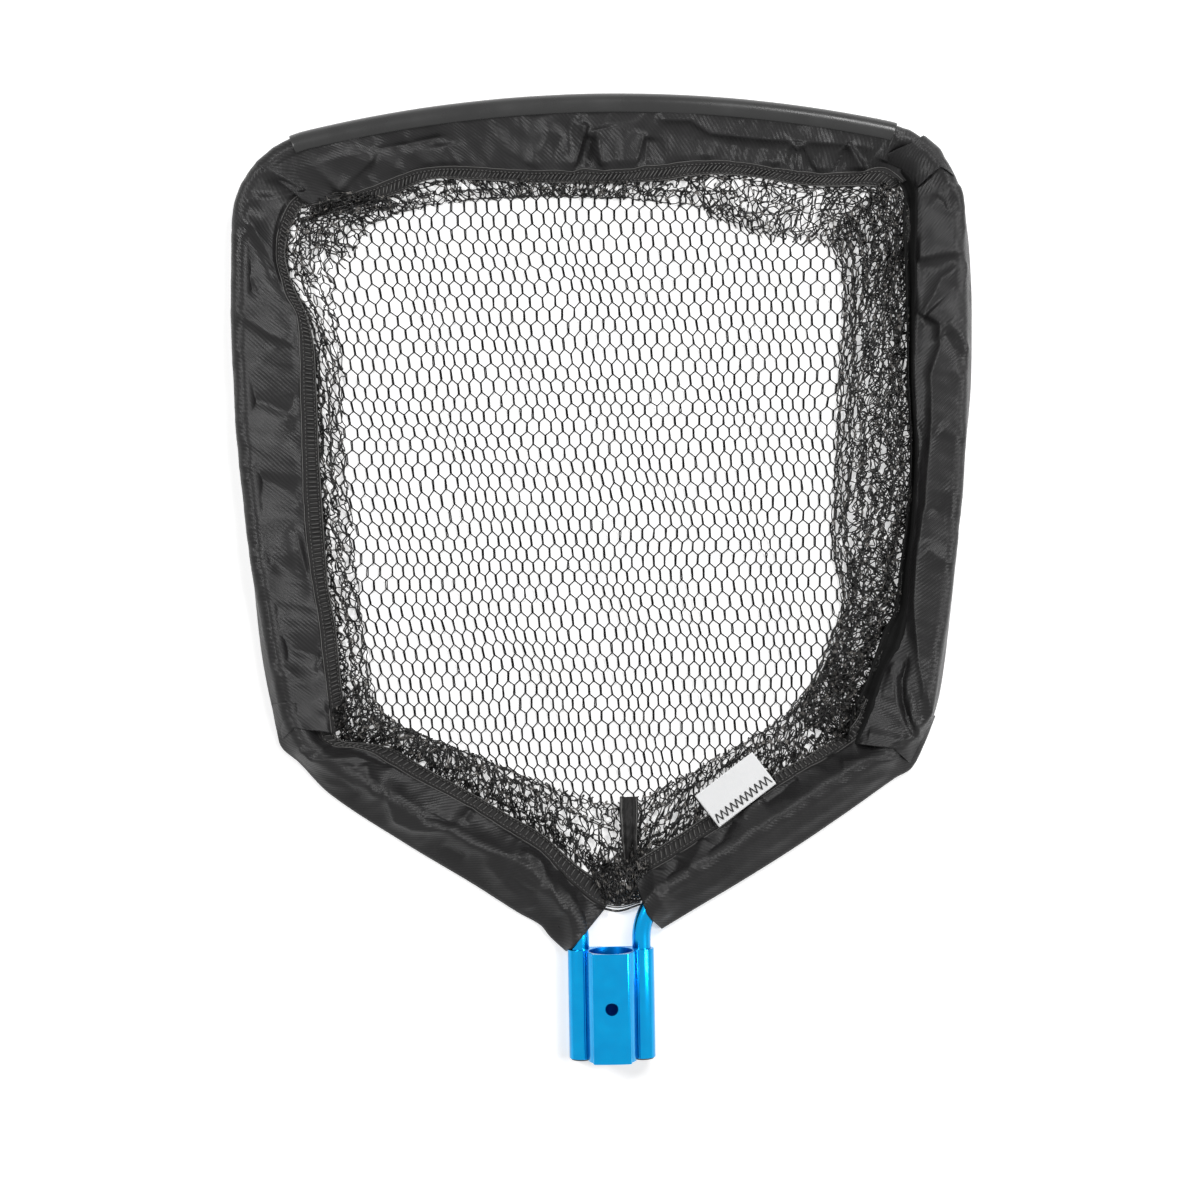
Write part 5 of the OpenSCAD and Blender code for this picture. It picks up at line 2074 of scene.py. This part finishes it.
@dataclass
class SeamTape:
    """Folded tape over the bag's seam, arched over the gathered net."""

    finishes: Finishes
    line: Line = ((13.4, 167), (13.2, 150), (13.6, 132), (14.6, 118), (16.0, 110))
    width: float = 12.0
    crown: float = 9.6
    foot: float = 2.2
    thick: float = 0.7

    PLEATS = ((1.1, 0.16, 0.07), (-0.9, -0.14, 0.06), (0.7, -0.30, 0.06))

    def finish(self) -> None:
        """Builds and dresses the tape."""
        line = smooth(self.line, 110)
        side = left_of(headings(line))
        c = np.linspace(-0.5, 0.5, 25)
        f = np.linspace(0, 1, len(line))
        rise = self.foot + (self.crown - self.foot) * np.sin(math.pi * np.clip(f / 0.72, 0, 1) ** 0.8)
        width = self.width * (1 - 0.24 * f) + 0.3 * Ripple(152, 18, 5).at(line)
        plan = line[:, None] - side[:, None] * (c[None] * width[:, None])[..., None]
        pleat = sum(high * np.exp(-(((c - at) / wide) ** 2)) for high, at, wide in self.PLEATS)
        z = rise[:, None] + pleat[None] - 1.6 * (2 * c[None]) ** 4 + 0.45 * Ripple(151, 14, 3).at(plan)
        grid = np.concatenate([plan, (PLAN.floor_z + np.maximum(z, 0.9))[..., None]], axis=2)
        obj = grid_object("seam_tape_cloth", grid, closed=False)
        face_up(obj)
        thicken(obj, self.thick)
        dress(obj, self.finishes.hem, "binding_cloth", "seam_tape")
        sewn = [grid[::3, column] + [0, 0, 0.3] for column in (2, 22)]
        edge = grid[::2, 22] + [0, 0, 0.5]
        cords = [*sewn, edge, edge + [0.5, 0, -0.2]]
        threads = tubes_object("seam_tape_stitches", cords, THREAD_R, THREAD_SIDES)
        dress(threads, self.finishes.thread, "binding_cloth")
        round(run_length(grid[:, 12])[-1]) * MM


@dataclass
class WovenLabel:
    """Blank ribbon label, sewn along its lower edge with a zigzag."""

    finishes: Finishes
    corner: Point = (71.5, 146.5)
    length: float = 46.5
    height: float = 27.0
    turn: float = 36.5
    tilt: float = 13.0
    lift: float = 6.4
    zigzags: int = 11
    zigzag_v: Point = (2.6, 9.0)
    inset: float = 1.5
    thick: float = 0.35
    thread_r: float = 0.42

    def at(self, u: Array, v: Array) -> Array:
        """Finds places on the label in space.

        Args:
            u: Distance along the sewn edge.
            v: Distance up from it.

        Returns:
            Points, x, y and z last.
        """
        turn, tilt = math.radians(self.turn), math.radians(self.tilt)
        curl = 0.7 * np.sin(math.pi * u / self.length) * (v / self.height) ** 2
        curl = curl + 0.5 * ((u / self.length) - 0.5) ** 2 * 4 * (v / self.height)
        across = v * math.cos(tilt)
        x = self.corner[0] + u * math.cos(turn) - across * math.sin(turn)
        y = self.corner[1] + u * math.sin(turn) + across * math.cos(turn)
        z = PLAN.floor_z + self.lift + v * math.sin(tilt) + curl
        return np.stack([x, y, z], axis=-1)

    def finish(self) -> None:
        """Builds and dresses the label and its thread."""
        u, v = np.meshgrid(np.linspace(0, self.length, 60), np.linspace(0, self.height, 36), indexing="ij")
        obj = grid_object("blank_label", self.at(u, v), closed=False)
        face_up(obj)
        thicken(obj, self.thick)
        dress(obj, self.finishes.label, "label_cloth", "woven_label")
        peaks = np.arange(2 * self.zigzags + 1)
        zig_u = np.linspace(self.inset, self.length - self.inset, len(peaks))
        path = self.at(zig_u, np.where(peaks % 2 == 0, *self.zigzag_v))
        path[:, 2] += 0.25
        thread = tubes_object("label_thread", [evenly(path, 0.7)], self.thread_r, 6)
        dress(thread, self.finishes.black_thread, "label_cloth")


# -------- studio


def seen_rays(tree: bpy.types.NodeTree) -> Socket:
    """Adds the nodes that tell camera, glossy and transmission rays from all others.

    Args:
        tree: The material's or the world's nodes.

    Returns:
        1 for these rays and 0 for the others.
    """
    path = tree.nodes.new("ShaderNodeLightPath")
    seen = path.outputs["Is Camera Ray"]
    for ray in ("Is Glossy Ray", "Is Transmission Ray"):
        either = tree.nodes.new("ShaderNodeMath")
        either.operation = "MAXIMUM"
        tree.links.new(seen, either.inputs[0])
        tree.links.new(path.outputs[ray], either.inputs[1])
        seen = either.outputs[0]
    return seen


@dataclass(frozen=True)
class SoftBox:
    """A rectangular lamp that faces the head."""

    name: str
    at: tuple
    size: tuple
    power: float

    def hang(self, aim: tuple) -> None:
        """Hangs the lamp in its place.

        Args:
            aim: The point it faces, in mm.
        """
        data = bpy.data.lights.new(self.name, "AREA")
        data.shape = "RECTANGLE"
        data.size, data.size_y = self.size[0] * MM, self.size[1] * MM
        data.energy = self.power
        lamp = bpy.data.objects.new(self.name, data)
        lamp.location = [c * MM for c in self.at]
        to = np.array(self.at, float) - np.array(aim, float)
        lamp.rotation_euler = (math.atan2(math.hypot(to[0], to[1]), to[2]), 0, math.atan2(to[0], -to[1]))
        bpy.context.scene.collection.objects.link(lamp)


@dataclass
class Studio:
    """Floor, lights, world and camera."""

    eye: tuple = (-3.0, 294.8, 1300.0)
    roll: float = -1.0
    view_angle: float = 32.97
    floor_r: float = 1450.0
    floor_glow: float = 0.48
    fill: float = 0.14
    turn: float = 14.0
    middle: tuple = (0, 330, 0)
    rim_points: int = 96

    BOXES = (
        SoftBox("soft box left", (-1050, 800, 1400), (460, 340), 16),
        SoftBox("soft box right", (1250, 150, 1250), (320, 760), 15),
        SoftBox("soft box front", (850, 1600, 1250), (900, 420), 20),
    )
    LEVELS = ((0.0, 0.5), (0.08, 0.9), (0.30, 1.15), (0.37, 1.0), (0.44, 0.78), (0.49, 0.58), (0.54, 0.42),
              (0.61, 0.38), (0.70, 0.60), (0.82, 1.4), (0.92, 1.5), (0.97, 0.7), (1.0, 0.4))

    def camera(self) -> None:
        """Sets the camera straight above the bag."""
        data = bpy.data.cameras.new("camera")
        data.sensor_fit = "HORIZONTAL"
        data.angle = math.radians(self.view_angle)
        data.clip_start = 0.01
        data.clip_end = 50
        camera = bpy.data.objects.new("camera", data)
        camera.location = [c * MM for c in self.eye]
        camera.rotation_euler = (0, 0, math.radians(self.roll))
        bpy.context.scene.collection.objects.link(camera)
        bpy.context.scene.camera = camera

    def floor(self) -> None:
        """Lays a round white floor that shows as white to the eye and in reflections."""
        turn = np.linspace(0, 2 * math.pi, self.rim_points, endpoint=False)
        rim = np.stack([self.floor_r * np.cos(turn), self.middle[1] + self.floor_r * np.sin(turn),
                        np.full(self.rim_points, PLAN.floor_z)], axis=1)
        floor = new_object("floor", rim, [list(range(self.rim_points))])
        s = Sketch("floor white")
        glow = s.add("Math", operation="MULTIPLY")
        s.tree.links.new(seen_rays(s.tree), glow.inputs[0])
        glow.inputs[1].default_value = self.floor_glow
        s.set(s.shader, Base_Color=(0.82, 0.82, 0.82, 1), Roughness=0.9, Specular_IOR_Level=0.0,
              Emission_Color=(1, 1, 1, 1), Emission_Strength=glow.outputs[0])
        floor.data.materials.append(s.material)
        floor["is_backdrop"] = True

    def world(self) -> None:
        """White to the eye and in reflections; a soft studio, brighter at the sides, lights the rest."""
        world = bpy.data.worlds.new("studio")
        bpy.context.scene.world = world
        world.use_nodes = True
        tree = world.node_tree
        tree.nodes.clear()
        add, link = tree.nodes.new, tree.links.new
        coords, sides = add("ShaderNodeTexCoord"), add("ShaderNodeVectorMath")
        sides.operation = "DOT_PRODUCT"
        link(coords.outputs["Generated"], sides.inputs[0])
        turn = math.radians(self.turn)
        sides.inputs[1].default_value = (math.cos(turn), math.sin(turn), 0)
        ramp = add("ShaderNodeValToRGB")
        across = add("ShaderNodeMapRange")
        across.inputs["From Min"].default_value = -1
        across.inputs["From Max"].default_value = 1
        link(sides.outputs["Value"], across.inputs["Value"])
        link(across.outputs["Result"], ramp.inputs["Fac"])
        (first, darkest), *between, (last, dark) = self.LEVELS
        elements = ramp.color_ramp.elements
        elements[0].position, elements[0].color = first, (darkest, darkest, darkest, 1)
        elements[1].position, elements[1].color = last, (dark, dark, dark, 1)
        for place, level in between:
            elements.new(place).color = (level, level, level, 1)
        mix, out = add("ShaderNodeMixShader"), add("ShaderNodeOutputWorld")
        studio, white = add("ShaderNodeBackground"), add("ShaderNodeBackground")
        link(ramp.outputs["Color"], studio.inputs["Color"])
        studio.inputs["Strength"].default_value = self.fill
        white.inputs["Color"].default_value = (1, 1, 1, 1)
        link(seen_rays(tree), mix.inputs["Fac"])
        link(studio.outputs[0], mix.inputs[1])
        link(white.outputs[0], mix.inputs[2])
        link(mix.outputs[0], out.inputs["Surface"])

    def finish(self) -> None:
        """Sets the studio up."""
        self.camera()
        self.floor()
        self.world()
        for box in self.BOXES:
            box.hang(self.middle)
        bpy.context.scene.view_settings.view_transform = "Standard"


# -------- the whole head


def corners(box: tuple) -> list[list[float]]:
    """A box's two corners as plain lists."""
    return [[float(c) for c in corner] for corner in box]


def main() -> None:
    """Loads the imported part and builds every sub-assembly."""
    logging.basicConfig(level=logging.INFO, format="%(name)s %(message)s")
    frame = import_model()
    packed = corners(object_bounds())
    studio = Studio()
    studio.finish()
    finishes = Finishes()
    PoleSocket(finishes).finish()
    Hoop(finishes).finish(frame["nodes"])
    EdgeGuard(finishes).finish()
    Sleeve(finishes).finish()
    WovenLabel(finishes).finish()
    NetBag(finishes).finish()
    SeamTape(finishes).finish()
    sizes = {"cad": packed, "visual": corners(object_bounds())}
    LOG.info("sizes: %s", sizes)


if __name__ == "__main__":
    main()
